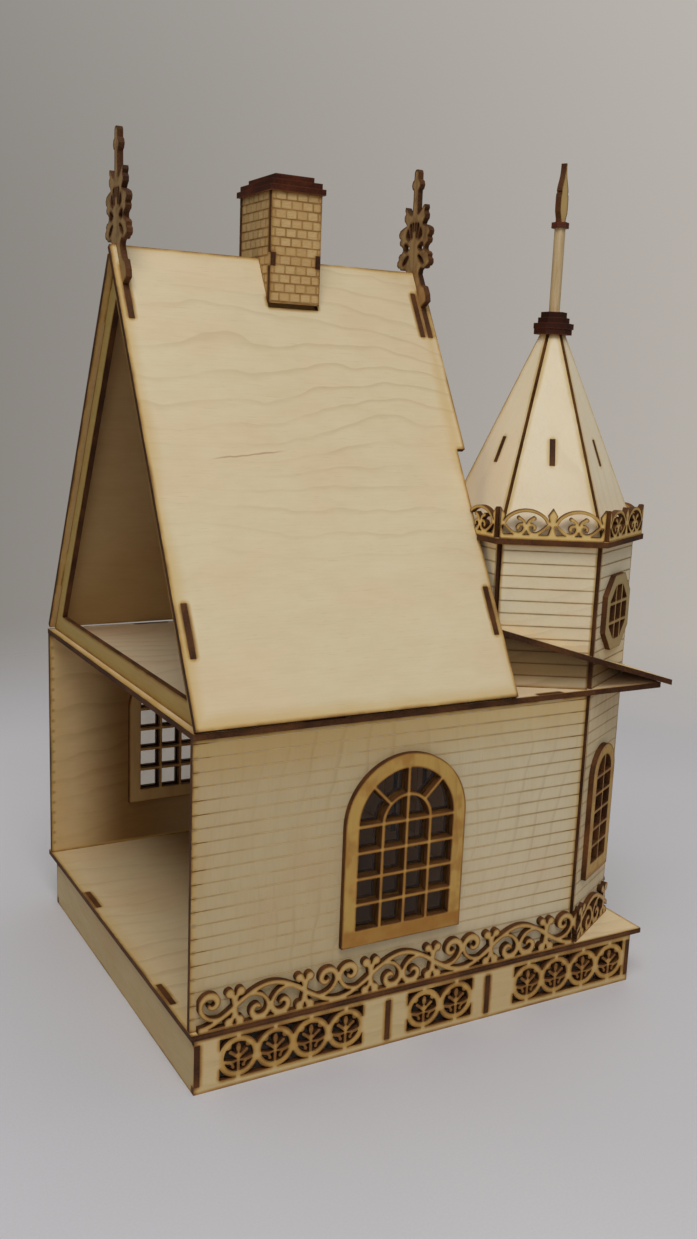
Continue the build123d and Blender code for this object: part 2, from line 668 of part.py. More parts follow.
with BuildPart() as gable_wall:
    with BuildSketch(cross(GW_X)):
        add(gable_outline((LOW_TAB, WALL_HIGH_TAB)))
        with Locations((YC, 316.0)):
            add(oct_hole, mode=Mode.SUBTRACT)
    extrude(amount=T)
finish(gable_wall, "gable_wall")

with BuildPart() as gable_sash:
    with BuildSketch(cross(GW_X + T)):
        with Locations((YC, 316.0)):
            add(oct_sash.sketch)
    extrude(amount=2.2)
finish(gable_sash, "gable_window_sash")

with BuildPart() as gable_pane:
    with BuildSketch(cross(GW_X + T - 1.0)):
        with Locations((YC, 316.0)):
            add(oct_pane)
    extrude(amount=1.0)
finish(gable_pane, "gable_window_glazing")


def roof_slots():
    """Slots for the gable tabs and finial hooks, on the roof's own plane."""
    rows = []
    for a, b in (LOW_TAB, (HIGH_TAB[0], HOOK[1] + 0.1)):
        rows.append((GF_X - FIT, a - FIT, GF_X + T + FIT, b + FIT))
    for a, b in (LOW_TAB, WALL_HIGH_TAB):
        rows.append((GW_X - FIT, a - FIT, GW_X + T + FIT, b + FIT))
    rows.append((FN_X - FIT, HIGH_TAB[0] - FIT, FN_X + T + FIT, HOOK[1] + 0.15))
    return rows


# The far panel stops a little above the attic floor and leaves a line of light.
for far, name, low, top in ((False, "roof_near_panel", 0.0, ROOF_L),
                            (True, "roof_far_panel", 1.5, None)):
    if top is None:
        # its inner top edge meets the near panel's inner face on the centre line
        top = ROOF_L - T * SZ / SY
    with BuildPart() as roof_panel:
        # panels are drawn on a plane whose Y runs up the slope
        with BuildSketch(roof_plane()):
            Polygon((ROOF_X0, low), (ROOF_X1, low), (ROOF_X1, ROOF_STEP), (ROOF_X2, ROOF_STEP),
                    (ROOF_X2, top), (ROOF_X0, top), align=None)
            for x0, a, x1, b in roof_slots():
                Polygon(*box2(x0, a, x1, b), align=None, mode=Mode.SUBTRACT)
            if not far:
                Polygon(*box2(CH_X0 - 0.1, 239.3, CH_X1 + 0.1, 246.6), align=None,
                        mode=Mode.SUBTRACT)
        extrude(amount=-T)
        if far:
            mirror(about=Plane(origin=(0, YC - OY, 0), z_dir=(0, 1, 0)), mode=Mode.REPLACE)
    finish(roof_panel, name)

# ------------------------------------------------------------------- pent roof
PENT_M = 0.2988
PENT_Z = 193.9


def pent_top(x):
    return PENT_Z + PENT_M * (PENT_X - x)


PENT_X0 = GW_X + T + 0.05
PENT_V = T * sqrt(1 + PENT_M ** 2)
with BuildPart() as pent_roof:
    with BuildSketch(deck(170)):
        Polygon((PENT_X0, 27.0), (193.1, 25.4), (193.3, 23.2), (238.0, 0.0), (PENT_X, 0.0),
                (PENT_X, BASE_W), (238.0, BASE_W), (193.3, BASE_W - 23.2),
                (193.1, BASE_W - 25.4), (PENT_X0, BASE_W - 27.0), align=None)
        with Locations((TX, TY)):
            RegularPolygon(TAO + 0.4, 6, major_radius=False, rotation=30,
                           mode=Mode.SUBTRACT)
    extrude(amount=80)
    with BuildSketch(long_side(BASE_W + 20)):
        Polygon((180, pent_top(180)), (320, pent_top(320)), (320, pent_top(320) - PENT_V),
                (180, pent_top(180) - PENT_V), align=None)
    extrude(amount=BASE_W + 40, mode=Mode.INTERSECT)
finish(pent_roof, "pent_roof")

# --------------------------------------------------------------------- chimney
TAB_Z0, TAB_Z1 = 424.8, 432.0


def bricks(u0, u1, z0, shift):
    """Mortar lines of a running bond on a panel from u0 to u1, down to z0."""
    with BuildSketch() as mortar:
        n = int((u1 - u0) / BRICK) + 2
        for k in range(int((BRICK_TOP - z0) / COURSE) + 1):
            z = BRICK_TOP - k * COURSE
            with Locations(((u0 + u1) / 2, z)):
                Rectangle(u1 - u0, MORTAR)
            first = u0 + shift + (BRICK / 2 if k % 2 else 0)
            with Locations(*[(first + i * BRICK, z + COURSE / 2) for i in range(n)
                             if u0 + 0.8 < first + i * BRICK < u1 - 0.8]):
                Rectangle(MORTAR, COURSE)
    return mortar.sketch


with BuildPart() as chimney_near:
    with BuildSketch(long_side(CH_Y0 + T)):
        Polygon(*box2(CH_X0, CH_NEAR_BOTTOM, CH_X1, CH_TOP), align=None)
        Polygon(*box2(CH_X0 - 1, TAB_Z0 - FIT, CH_X0 + T + FIT, TAB_Z1 + FIT), align=None,
                mode=Mode.SUBTRACT)
        Polygon(*box2(CH_X1 - T - FIT, TAB_Z0 - FIT, CH_X1 + 1, TAB_Z1 + FIT), align=None,
                mode=Mode.SUBTRACT)
    extrude(amount=T)
    with BuildSketch(long_side(CH_Y0 + MORTAR_D)):
        add(bricks(CH_X0, CH_X1, CH_NEAR_BOTTOM, 2.4))
    extrude(amount=1 + MORTAR_D, mode=Mode.SUBTRACT)
finish(chimney_near, "chimney_near_panel")

far_surface = RIDGE_Z - (CH_Y1 - T - YC) * SZ / SY
with BuildPart() as chimney_far:
    with BuildSketch(long_side(CH_Y1)):
        Polygon(*box2(CH_X0, far_surface + 0.05, CH_X1, CH_TOP), align=None)
    extrude(amount=T)
    with BuildSketch(long_side(CH_Y1 + 1)):
        add(bricks(CH_X0, CH_X1, far_surface, 2.4))
    extrude(amount=1 + MORTAR_D, mode=Mode.SUBTRACT)
finish(chimney_far, "chimney_far_panel")

near_s = RIDGE_Z - (YC - CH_Y0 - T) * SZ / SY
end_y = YC + T * SZ + 0.05
with BuildPart() as chimney_sides:
    for x in (CH_X0, CH_X1 - T):
        with BuildSketch(cross(x)):
            Polygon((CH_Y0 + T, near_s + 0.05), (YC, RIDGE_Z + 0.05), (end_y, RIDGE_Z + 0.05),
                    (end_y, RIDGE_Z - (end_y - YC) * SZ / SY + 0.05),
                    (CH_Y1 - T, far_surface + 0.05), (CH_Y1 - T, CH_TOP),
                    (CH_Y0 + T, CH_TOP), align=None)
            Polygon(*box2(CH_Y0, TAB_Z0, CH_Y0 + T + 1, TAB_Z1), align=None)
        extrude(amount=T)
    for x in (CH_X0 - 1, CH_X1 - MORTAR_D):
        with BuildSketch(cross(x)):
            add(bricks(CH_Y0 + T, CH_Y1 - T, near_s, 1.2))
        extrude(amount=1 + MORTAR_D, mode=Mode.SUBTRACT)
finish(chimney_sides, "chimney_side_panels")

with BuildPart() as chimney_cap:
    for i, o in enumerate((1.6, 0.0, -3.6)):
        with BuildSketch(deck(CH_TOP + i * T)):
            Polygon(*box2(CH_X0 - o, CH_Y0 - o, CH_X1 + o, CH_Y1 + o), align=None)
        extrude(amount=T - (0.0 if i == 2 else 0.02))
finish(chimney_cap, "chimney_cap_plates")

# -------------------------------------------------------------------- finials
# A pierced leaf spire astride the ridge, hooked into slots of both roof panels.
# Half outline from the tip down: stem with a knob, then three pairs of lobed leaves.
LEAF = [(0.9, 60.3), (1.9, 59.7), (2.5, 58.4), (2.6, 54.6), (4.2, 53.6), (5.1, 51.4), (4.2, 49.2), (2.6, 48.2),
        (2.6, 42.0), (3.0, 34.0), (5.4, 35.0), (7.8, 37.0), (9.4, 39.0), (11.2, 39.4), (11.7, 37.4),
        (10.6, 35.6), (12.2, 33.6), (12.0, 31.4), (10.2, 29.8), (8.9, 28.2), (11.6, 27.6),
        (14.2, 26.8), (16.6, 25.8), (18.0, 23.8), (17.4, 21.8), (15.6, 20.7), (16.8, 19.0),
        (16.2, 17.2), (14.2, 16.4), (12.6, 15.2), (12.4, 13.6), (13.6, 12.3), (15.8, 11.8),
        (17.4, 10.4), (17.0, 8.6), (18.6, 7.2), (18.8, 5.0), (17.2, 3.6), (15.6, 3.5),
        (14.2, 2.2), (12.0, 2.0), (9.6, 2.6), (7.6, 1.2), (6.6, -3.0)]
# The fan above the waist and the gaps between the leaves are cut through.
LEAF_GAPS = [[(0.75, 20.8), (0.75, 29.4), (2.4, 29.6)],
             [(1.9, 20.4), (3.4, 29.4), (5.0, 29.0), (5.6, 27.6), (3.5, 20.6)],
             [(4.5, 20.4), (7.0, 26.6), (8.6, 24.4), (9.2, 21.6), (5.6, 19.0)],
             [(4.4, 14.8), (8.6, 17.8), (11.0, 17.2), (10.9, 13.4), (8.0, 12.6)],
             [(4.8, 9.8), (6.6, 10.6), (10.4, 8.6), (12.6, 5.4), (11.6, 4.4), (8.4, 6.0)]]
with BuildSketch() as spire_leaf:
    Polygon(*LEAF, *[(-x, z) for x, z in reversed(LEAF)], align=None)
    for side in (-1, 1):
        for gap in LEAF_GAPS:
            Polygon(*[(side * x, z) for x, z in gap], align=None, mode=Mode.SUBTRACT)
    fillet(spire_leaf.vertices(), radius=0.35)


def finial_profile(reach):
    """Outline astride the ridge; its tongues reach down the slots to reach."""
    def slope(s, n, side):
        # s runs down the slope from the ridge, n stands out from it
        return (YC + side * (s * SY + n * SZ), RIDGE_Z - s * SZ + n * SY)
    with BuildSketch() as profile:
        with Locations((YC, RIDGE_Z)):
            add(spire_leaf.sketch)
        for side in (-1, 1):
            Polygon(slope(-4, 0, side), slope(24.0, 0, side), slope(24.0, 6.6, side),
                    slope(20.0, 8.0, side), slope(14.5, 8.0, side), slope(12.0, 5.6, side),
                    slope(-4, 5.6, side), align=None)
        # clear of the two roof panels, the near one lapped over the far one
        Polygon((YC, RIDGE_Z + GAP), slope(-0.0, GAP, -1), slope(60, GAP, -1),
                slope(60, -40, -1), (YC, RIDGE_Z - 60), slope(60, -40, 1), slope(60, GAP, 1),
                slope(T * SZ / SY - GAP, GAP, 1), (YC + T * SZ + GAP, RIDGE_Z - T * SY + GAP),
                align=None, mode=Mode.SUBTRACT)
        for side in (-1, 1):
            s0, s1 = ROOF_L - HOOK[1], ROOF_L - HOOK[0]
            Polygon(slope(s0, 2.0, side), slope(s1, 2.0, side), slope(s1, -T, side),
                    slope(s0, -T, side), align=None)
            Polygon(slope(s0, -0.05, side), slope(ROOF_L - reach, -0.05, side),
                    slope(ROOF_L - reach, -T, side), slope(s0, -T, side), align=None)
    return profile.sketch


for x, reach, name in ((GF_X, HOOK[0], "open_end_finial"), (FN_X, HIGH_TAB[0], "front_finial")):
    with BuildPart() as finial:
        with BuildSketch(cross(x)):
            add(finial_profile(reach))
        extrude(amount=T)
    finish(finial, name)

# ----------------------------------------------------------------------- tower
SIDES = ((240, "tower_near_panel"), (300, "tower_window_panel"), (0, "tower_front_panel"),
         (60, "tower_far_window_panel"), (120, "tower_far_panel"), (180, "tower_gable_panel"))
WINDOWED = (300, 60)
for phi, name in SIDES:
    with BuildPart() as tower_panel:
        with BuildSketch(tower_face(phi, TAI)):
            Polygon(*box2(-TW / 2, ZAT, TW / 2, T_TOP), align=None)
            if phi in WINDOWED:
                with Locations((0, OCT_Z)):
                    add(oct_hole, mode=Mode.SUBTRACT)
        extrude(amount=T)
        with BuildSketch(tower_face(phi, TAO - GROOVE_D)):
            with Locations(*[(0, z) for z in TOWER_Z]):
                Rectangle(TW + 2, GROOVE_W)
        extrude(amount=GROOVE_D + 1, mode=Mode.SUBTRACT)
    finish(tower_panel, name)

with BuildPart() as oct_sashes:
    for phi in WINDOWED:
        with BuildSketch(tower_face(phi, TAO)):
            with Locations((0, OCT_Z)):
                add(oct_sash.sketch)
        extrude(amount=T)
finish(oct_sashes, "tower_window_sashes")

with BuildPart() as oct_panes:
    for phi in WINDOWED:
        with BuildSketch(tower_face(phi, TAO - 1.0)):
            with Locations((0, OCT_Z)):
                add(oct_pane)
        extrude(amount=1.0)
finish(oct_panes, "tower_window_glazing")

ROOF_CUT_Y = EAVE_Y + (T_TOP - EAVE_Z) * SY / SZ - 0.4
with BuildPart() as cornice:
    with BuildSketch(deck(T_TOP)):
        with Locations((TX, TY)):
            RegularPolygon(COR_R, 6, rotation=90)
        # cut back where the main roof's edge passes
        Polygon(*box2(TX - 80, ROOF_CUT_Y, ROOF_X1 + 0.2, TY + 80), align=None,
                mode=Mode.SUBTRACT)
    extrude(amount=T)
finish(cornice, "tower_cornice")

with BuildPart() as railings:
    for phi in (240, 300, 0, 60, 120):
        with BuildSketch(tower_face(phi, RAIL_A)):
            with Locations((0, PYR_Z0)):
                add(railing.sketch)
        extrude(amount=T)
    with BuildSketch(tower_face(180, RAIL_A)):
        with Locations((0, PYR_Z0)):
            add(railing.sketch)
        # on this side local x runs towards -Y; the piece stops at the main roof
        foot = TY - (EAVE_Y + (PYR_Z0 - 1 - EAVE_Z) * SY / SZ) + 0.4
        head = TY - (EAVE_Y + (PYR_Z0 + 21 - EAVE_Z) * SY / SZ) + 0.4
        Polygon((foot, PYR_Z0 - 1), (-60, PYR_Z0 - 1), (-60, PYR_Z0 + 21), (head, PYR_Z0 + 21),
                align=None, mode=Mode.SUBTRACT)
    extrude(amount=T)
finish(railings, "tower_railings")

# Pyramid of six panels that meet along their inner edges; the edges are cut a
# little slanted, so the joint is a narrow groove.
PYR_SLANT = 0.55
pyr_h = PYR_APEX - PYR_Z0
pyr_a = PYR_R * sqrt(3) / 2
pyr_s = hypot(pyr_h, pyr_a)
pyr_f = (PYR_Z1 - PYR_Z0) / pyr_h
SLOT0, SLOT1 = (318.6 - PYR_Z0) / pyr_h * pyr_s, (333.6 - PYR_Z0) / pyr_h * pyr_s


def pyramid_plane(phi):
    c, s = cos(radians(phi)), sin(radians(phi))
    return Plane(origin=(TX - OX + pyr_a * c, TY - OY + pyr_a * s, PYR_Z0),
                 x_dir=(-s, c, 0),
                 z_dir=(c * pyr_h / pyr_s, s * pyr_h / pyr_s, pyr_a / pyr_s))


with BuildPart() as pyramid:
    for phi in range(0, 360, 60):
        for lift, grow in ((0.0, 0.0), (T, PYR_SLANT)):
            with BuildSketch(pyramid_plane(phi).offset(lift)):
                foot, head = PYR_R / 2 + grow, PYR_R / 2 * (1 - pyr_f) + grow
                Polygon((-foot, 0), (foot, 0), (head, pyr_s * pyr_f), (-head, pyr_s * pyr_f),
                        align=None)
        loft(ruled=True)
        with BuildSketch(pyramid_plane(phi)):
            with Locations((0, (SLOT0 + SLOT1) / 2)):
                Rectangle(T + 2 * FIT, SLOT1 - SLOT0 + 2 * FIT)
        extrude(amount=T, mode=Mode.SUBTRACT)
finish(pyramid, "tower_roof_panels")


def rib_r(z, out):
    """Distance from the axis to the panel's inner face, or out beyond it."""
    return pyr_a * (PYR_APEX - z) / pyr_h + out * pyr_s / pyr_h


with BuildPart() as ribs:
    for phi in range(0, 360, 60):
        c, s = cos(radians(phi)), sin(radians(phi))
        rib_plane = Plane(origin=(TX - OX - s * T / 2, TY - OY + c * T / 2, 0),
                          x_dir=(c, s, 0), z_dir=(s, -c, 0))
        with BuildSketch(rib_plane):
            Polygon((3.4, PYR_Z0), (rib_r(PYR_Z0, -0.1), PYR_Z0), (rib_r(360, -0.1), 360),
                    (3.4, 360), align=None)
            # the tab stands square to the panel
            tz, tr = pyr_a / pyr_s, pyr_h / pyr_s
            a0 = (rib_r(318.6, 0), 318.6)
            a1 = (rib_r(333.6, 0), 333.6)
            Polygon((a0[0] - 2 * tr, a0[1] - 2 * tz), (a0[0] + (T - 0.1) * tr, a0[1] + (T - 0.1) * tz),
                    (a1[0] + (T - 0.1) * tr, a1[1] + (T - 0.1) * tz),
                    (a1[0] - 2 * tr, a1[1] - 2 * tz), align=None)
        extrude(amount=T)
finish(ribs, "tower_roof_ribs")

# Stacked cap, spindle, collar and spear on the tower axis.
CAP = ((9.9, 0.0), (10.45, 0.3), (8.2, 0.1), (6.75, 0.0))
CAP_Z = PYR_Z1 + T * pyr_a / pyr_s + 0.01
with BuildPart() as cap:
    for i, (r, dx) in enumerate(CAP):
        with BuildSketch(deck(CAP_Z + i * T)):
            with Locations((TX + dx, TY)):
                RegularPolygon(r * 2 / sqrt(3) * 0.98, 6, rotation=90)
        extrude(amount=T)
    # the spindle stands in the upper two plates
    with BuildSketch(deck(CAP_Z + 2 * T)):
        with Locations((TX, TY)):
            Circle(3.2)
    extrude(amount=2 * T, mode=Mode.SUBTRACT)
finish(cap, "tower_cap_plates")

DOWEL_Z0, DOWEL_Z1 = CAP_Z + 2 * T, 454.3
with BuildPart() as spindle:
    with BuildSketch(deck(DOWEL_Z0)):
        with Locations((TX, TY)):
            Circle(3.175)
    extrude(amount=DOWEL_Z1 - DOWEL_Z0)
finish(spindle, "spire_spindle")

SPEAR_TURN = 27.0                           # the spear's plate, from +X
with BuildPart() as collar:
    with BuildSketch(deck(DOWEL_Z1)):
        with Locations((TX, TY)):
            RegularPolygon(5.1, 6, rotation=90)
        with Locations(Location((TX, TY), SPEAR_TURN)):
            Rectangle(4.0 + 2 * FIT, T + 2 * FIT, mode=Mode.SUBTRACT)
    extrude(amount=T)
finish(collar, "spire_collar")

# The spear is one flat leaf; its tenon stands in the collar.
SPEAR_Z0, SPEAR_Z1 = DOWEL_Z1 + T, 490.0
spear = [(2.0, 0.05 - T), (2.0, 0.0), (3.3, 0.0), (3.4, 1.8), (4.0, 3.4), (5.0, 5.6), (5.2, 8.4),
         (5.15, 13.4), (4.8, 15.4), (3.9, 16.3), (4.5, 17.2), (4.1, 19.0), (3.3, 21.0), (2.4, 23.0),
         (1.5, 25.4), (0.9, 28.0), (0.6, SPEAR_Z1 - SPEAR_Z0)]
spear_c, spear_s = cos(radians(SPEAR_TURN)), sin(radians(SPEAR_TURN))
with BuildPart() as spear_plate:
    with BuildSketch(Plane(origin=(TX - OX - spear_s * T / 2, TY - OY + spear_c * T / 2, SPEAR_Z0),
                           x_dir=(spear_c, spear_s, 0), z_dir=(spear_s, -spear_c, 0))):
        Polygon(*spear, *[(-x, z) for x, z in reversed(spear)], align=None)
    extrude(amount=T)
finish(spear_plate, "spire_spear")
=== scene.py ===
import bpy
import math
import numpy as np
from mathutils import Matrix, Vector

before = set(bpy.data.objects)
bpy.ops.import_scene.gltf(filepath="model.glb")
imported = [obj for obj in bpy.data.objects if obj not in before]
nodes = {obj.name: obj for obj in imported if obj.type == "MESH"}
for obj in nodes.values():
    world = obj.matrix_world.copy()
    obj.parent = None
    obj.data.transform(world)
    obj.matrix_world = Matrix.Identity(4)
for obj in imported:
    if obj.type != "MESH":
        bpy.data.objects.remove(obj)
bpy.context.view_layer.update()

# ------------------------------------------------------------------ placement
# House coordinates in millimetres, as the part was drawn; the row frame has
# its origin at the middle of the footprint.
OX, OY = 307.0 / 2, (271.0 + 61.13 - 63.6) / 2


def row(x, y, z):
    return Vector(((x - OX) / 1000.0, (y - OY) / 1000.0, z / 1000.0))


def srgb(r, g, b):
    def f(c):
        c /= 255.0
        return c / 12.92 if c <= 0.04045 else ((c + 0.055) / 1.055) ** 2.4
    return (f(r), f(g), f(b), 1.0)


# ------------------------------------------------------------------ materials
class Net:
    """A small helper around one material's node tree."""

    def __init__(self, name):
        self.mat = bpy.data.materials.new(name)
        self.mat.use_nodes = True
        self.tree = self.mat.node_tree
        self.tree.nodes.clear()
        self.out = self.add("ShaderNodeOutputMaterial")
        self.bsdf = self.add("ShaderNodeBsdfPrincipled")
        self.link(self.bsdf.outputs["BSDF"], self.out.inputs["Surface"])
        self._xyz = None

    def add(self, kind, **props):
        n = self.tree.nodes.new(kind)
        for k, v in props.items():
            setattr(n, k, v)
        return n

    def link(self, a, b):
        self.tree.links.new(a, b)

    def put(self, socket, value):
        if isinstance(value, bpy.types.NodeSocket):
            self.link(value, socket)
        else:
            socket.default_value = value

    def coords(self, scale=(1, 1, 1), shift=(0, 0, 0), rotate=(0, 0, 0)):
        tc = self.add("ShaderNodeTexCoord")
        m = self.add("ShaderNodeMapping")
        m.inputs["Scale"].default_value = scale
        m.inputs["Rotation"].default_value = rotate
        m.inputs["Location"].default_value = shift
        self.link(tc.outputs["Object"], m.inputs["Vector"])
        return m.outputs["Vector"]

    def xyz(self):
        if self._xyz is None:
            tc = self.add("ShaderNodeTexCoord")
            sep = self.add("ShaderNodeSeparateXYZ")
            self.link(tc.outputs["Object"], sep.inputs[0])
            self._xyz = {"x": sep.outputs[0], "y": sep.outputs[1], "z": sep.outputs[2]}
        return self._xyz

    def noise(self, vec, scale=1.0, detail=2.0, rough=0.5, distort=0.0):
        n = self.add("ShaderNodeTexNoise")
        self.link(vec, n.inputs["Vector"])
        n.inputs["Scale"].default_value = scale
        n.inputs["Detail"].default_value = detail
        n.inputs["Roughness"].default_value = rough
        n.inputs["Distortion"].default_value = distort
        return n.outputs["Fac"]

    def math(self, op, a, b=0.0, clamp=False):
        n = self.add("ShaderNodeMath", operation=op, use_clamp=clamp)
        self.put(n.inputs[0], a)
        self.put(n.inputs[1], b)
        return n.outputs[0]

    def span(self, v, a, b, lo=0.0, hi=1.0, smooth=True):
        n = self.add("ShaderNodeMapRange", interpolation_type="SMOOTHSTEP" if smooth else "LINEAR")
        self.put(n.inputs["Value"], v)
        n.inputs["From Min"].default_value = a
        n.inputs["From Max"].default_value = b
        n.inputs["To Min"].default_value = lo
        n.inputs["To Max"].default_value = hi
        return n.outputs["Result"]

    def mix(self, fac, a, b, mode="MIX"):
        n = self.add("ShaderNodeMix", data_type="RGBA", blend_type=mode)
        self.put(n.inputs["Factor"], fac)
        self.put(n.inputs[6], a)
        self.put(n.inputs[7], b)
        return n.outputs[2]

    def bump(self, height, strength, distance):
        n = self.add("ShaderNodeBump")
        n.inputs["Strength"].default_value = strength
        n.inputs["Distance"].default_value = distance
        self.link(height, n.inputs["Height"])
        self.link(n.outputs["Normal"], self.bsdf.inputs["Normal"])

    def cut_heat(self, reach=0.0030, samples=10):
        """0 in the open sheet, rising to 1 beside a cut; measured inside the solid."""
        ao = self.add("ShaderNodeAmbientOcclusion", samples=samples, inside=True, only_local=True)
        ao.inputs["Distance"].default_value = reach
        return self.math("SUBTRACT", 1.0, ao.outputs["AO"])


ALONG = {"X": 0, "Y": 1, "Z": 2}


def grain_scale(grain, along, across):
    return tuple(along if i == ALONG[grain] else across for i in range(3))


ACROSS = {"X": (0.0, 0.72, 0.72), "Y": (0.72, 0.0, 0.72), "Z": (0.80, 0.80, 0.0)}


def veneer(n, grain, light, dark, line, shift, figure, wander, sharp=0.58, calm=None):
    """Colour and fibre height of sanded birch veneer with its growth figure."""
    # growth lines of the peeled veneer: long, wandering, spaced across the grain;
    # each darkens slowly and stops at a sharp line
    dot = n.add("ShaderNodeVectorMath", operation="DOT_PRODUCT")
    n.link(n.coords(shift=shift), dot.inputs[0])
    dot.inputs[1].default_value = ACROSS[grain]
    sway = n.noise(n.coords(grain_scale(grain, 1.0, 0.5 * wander), shift=shift), scale=6.0, detail=1.2, rough=0.4)
    wave = n.noise(n.coords(grain_scale(grain, 1.0, 1.2), shift=shift), scale=21.0, detail=2.0, rough=0.5)
    turns = n.math("ADD", n.math("DIVIDE", dot.outputs["Value"], 0.0125), n.math("MULTIPLY", sway, 6.4))
    turns = n.math("ADD", turns, n.math("MULTIPLY", wave, 1.5))
    ring = n.math("FRACT", turns)
    late = n.math("MULTIPLY", n.span(ring, sharp, 0.95), n.span(ring, 0.95, 1.0, 1.0, 0.0))
    where = n.span(n.noise(n.coords((1, 1, 1), shift=shift), scale=9.0, detail=2.0), 0.42, 0.66)
    figure_tone = n.math("MULTIPLY", late, n.math("MULTIPLY", where, 0.44 * figure))
    figure_tone = n.math("ADD", figure_tone, n.math("MULTIPLY", late, 0.07 * figure))
    if calm is not None:
        axis, c0, c1 = calm
        figure_tone = n.math("MULTIPLY", figure_tone, n.span(n.xyz()[axis], c0, c1, 0.12, 1.0))
    # slow change of tone over the sheet, mottle, fibres and short pores
    slow = n.span(n.noise(n.coords((1, 1, 1), shift=shift), scale=4.2, detail=2.5), 0.32, 0.70)
    mottle = n.span(n.noise(n.coords(grain_scale(grain, 1.0, 2.2), shift=shift), scale=46.0, detail=3.0, rough=0.6), 0.32, 0.72)
    fibre = n.noise(n.coords(grain_scale(grain, 1.0, 16.0), shift=shift), scale=52.0, detail=3.0, rough=0.65)
    pore = n.noise(n.coords(grain_scale(grain, 0.35, 6.5), shift=shift), scale=300.0, detail=1.0)
    tone = n.math("ADD", n.math("MULTIPLY", slow, 0.28), n.math("MULTIPLY", mottle, 0.16))
    tone = n.math("ADD", tone, n.math("MULTIPLY", n.span(fibre, 0.34, 0.70), 0.13), clamp=True)
    col = n.mix(tone, srgb(*light), srgb(*dark))
    blush = n.span(n.noise(n.coords(grain_scale(grain, 1.0, 1.6), shift=shift), scale=17.0, detail=2.0), 0.42, 0.70)
    col = n.mix(n.math("MULTIPLY", blush, 0.75), col, srgb(255, 247, 244), mode="MULTIPLY")
    col = n.mix(figure_tone, col, srgb(*line))
    col = n.mix(n.math("MULTIPLY", n.span(pore, 0.66, 0.74), 0.12), col, srgb(160, 122, 78))
    return col, fibre


def rim_heat_and_shade(n, rims, shift):
    """Broad faint browning along the outline of a large panel; the wide band along the near wall's top is partly that
    browning, mostly painted shade under the eave.
    """
    wob = n.noise(n.coords((1, 1, 1), shift=shift), scale=34.0, detail=2.0)
    wob = n.span(wob, 0.25, 0.75, -0.0022, 0.0022, smooth=False)
    total = None
    for axis, at, width, strength in rims:
        d = n.math("ABSOLUTE", n.math("SUBTRACT", n.xyz()[axis], at))
        d = n.math("ADD", d, wob)
        r = n.span(d, 0.0, width, strength, 0.0)
        total = r if total is None else n.math("MAXIMUM", total, r)
    return total


def toasted(n, col, heat, toast, shift, gold, brown):
    """Yellow then brown scorch beside the cuts, uneven as the beam left it."""
    blot = n.noise(n.coords((1, 1, 1), shift=shift), scale=58.0, detail=2.5, rough=0.6)
    heat = n.math("MULTIPLY", heat, n.span(blot, 0.25, 0.75, 0.45 * toast, 1.55 * toast, smooth=False))
    col = n.mix(n.math("MULTIPLY", n.span(heat, 0.010, 0.24), 0.86), col, srgb(*gold))
    col = n.mix(n.math("MULTIPLY", n.span(heat, 0.20, 0.60), 0.88), col, srgb(*brown))
    return col


def below(n, col, under):
    """Painted shade below a plane that slopes along x, weaker at the foot."""
    slope, top, foot, tone = under
    level = n.math("ADD", n.xyz()["z"], n.math("MULTIPLY", n.xyz()["x"], slope))
    depth = n.math("MULTIPLY", n.span(level, top - 0.0012, top, 1.0, 0.0), n.span(n.xyz()["z"], foot, foot + 0.010, 0.55, 1.0))
    return n.mix(depth, col, srgb(*tone), mode="MULTIPLY")


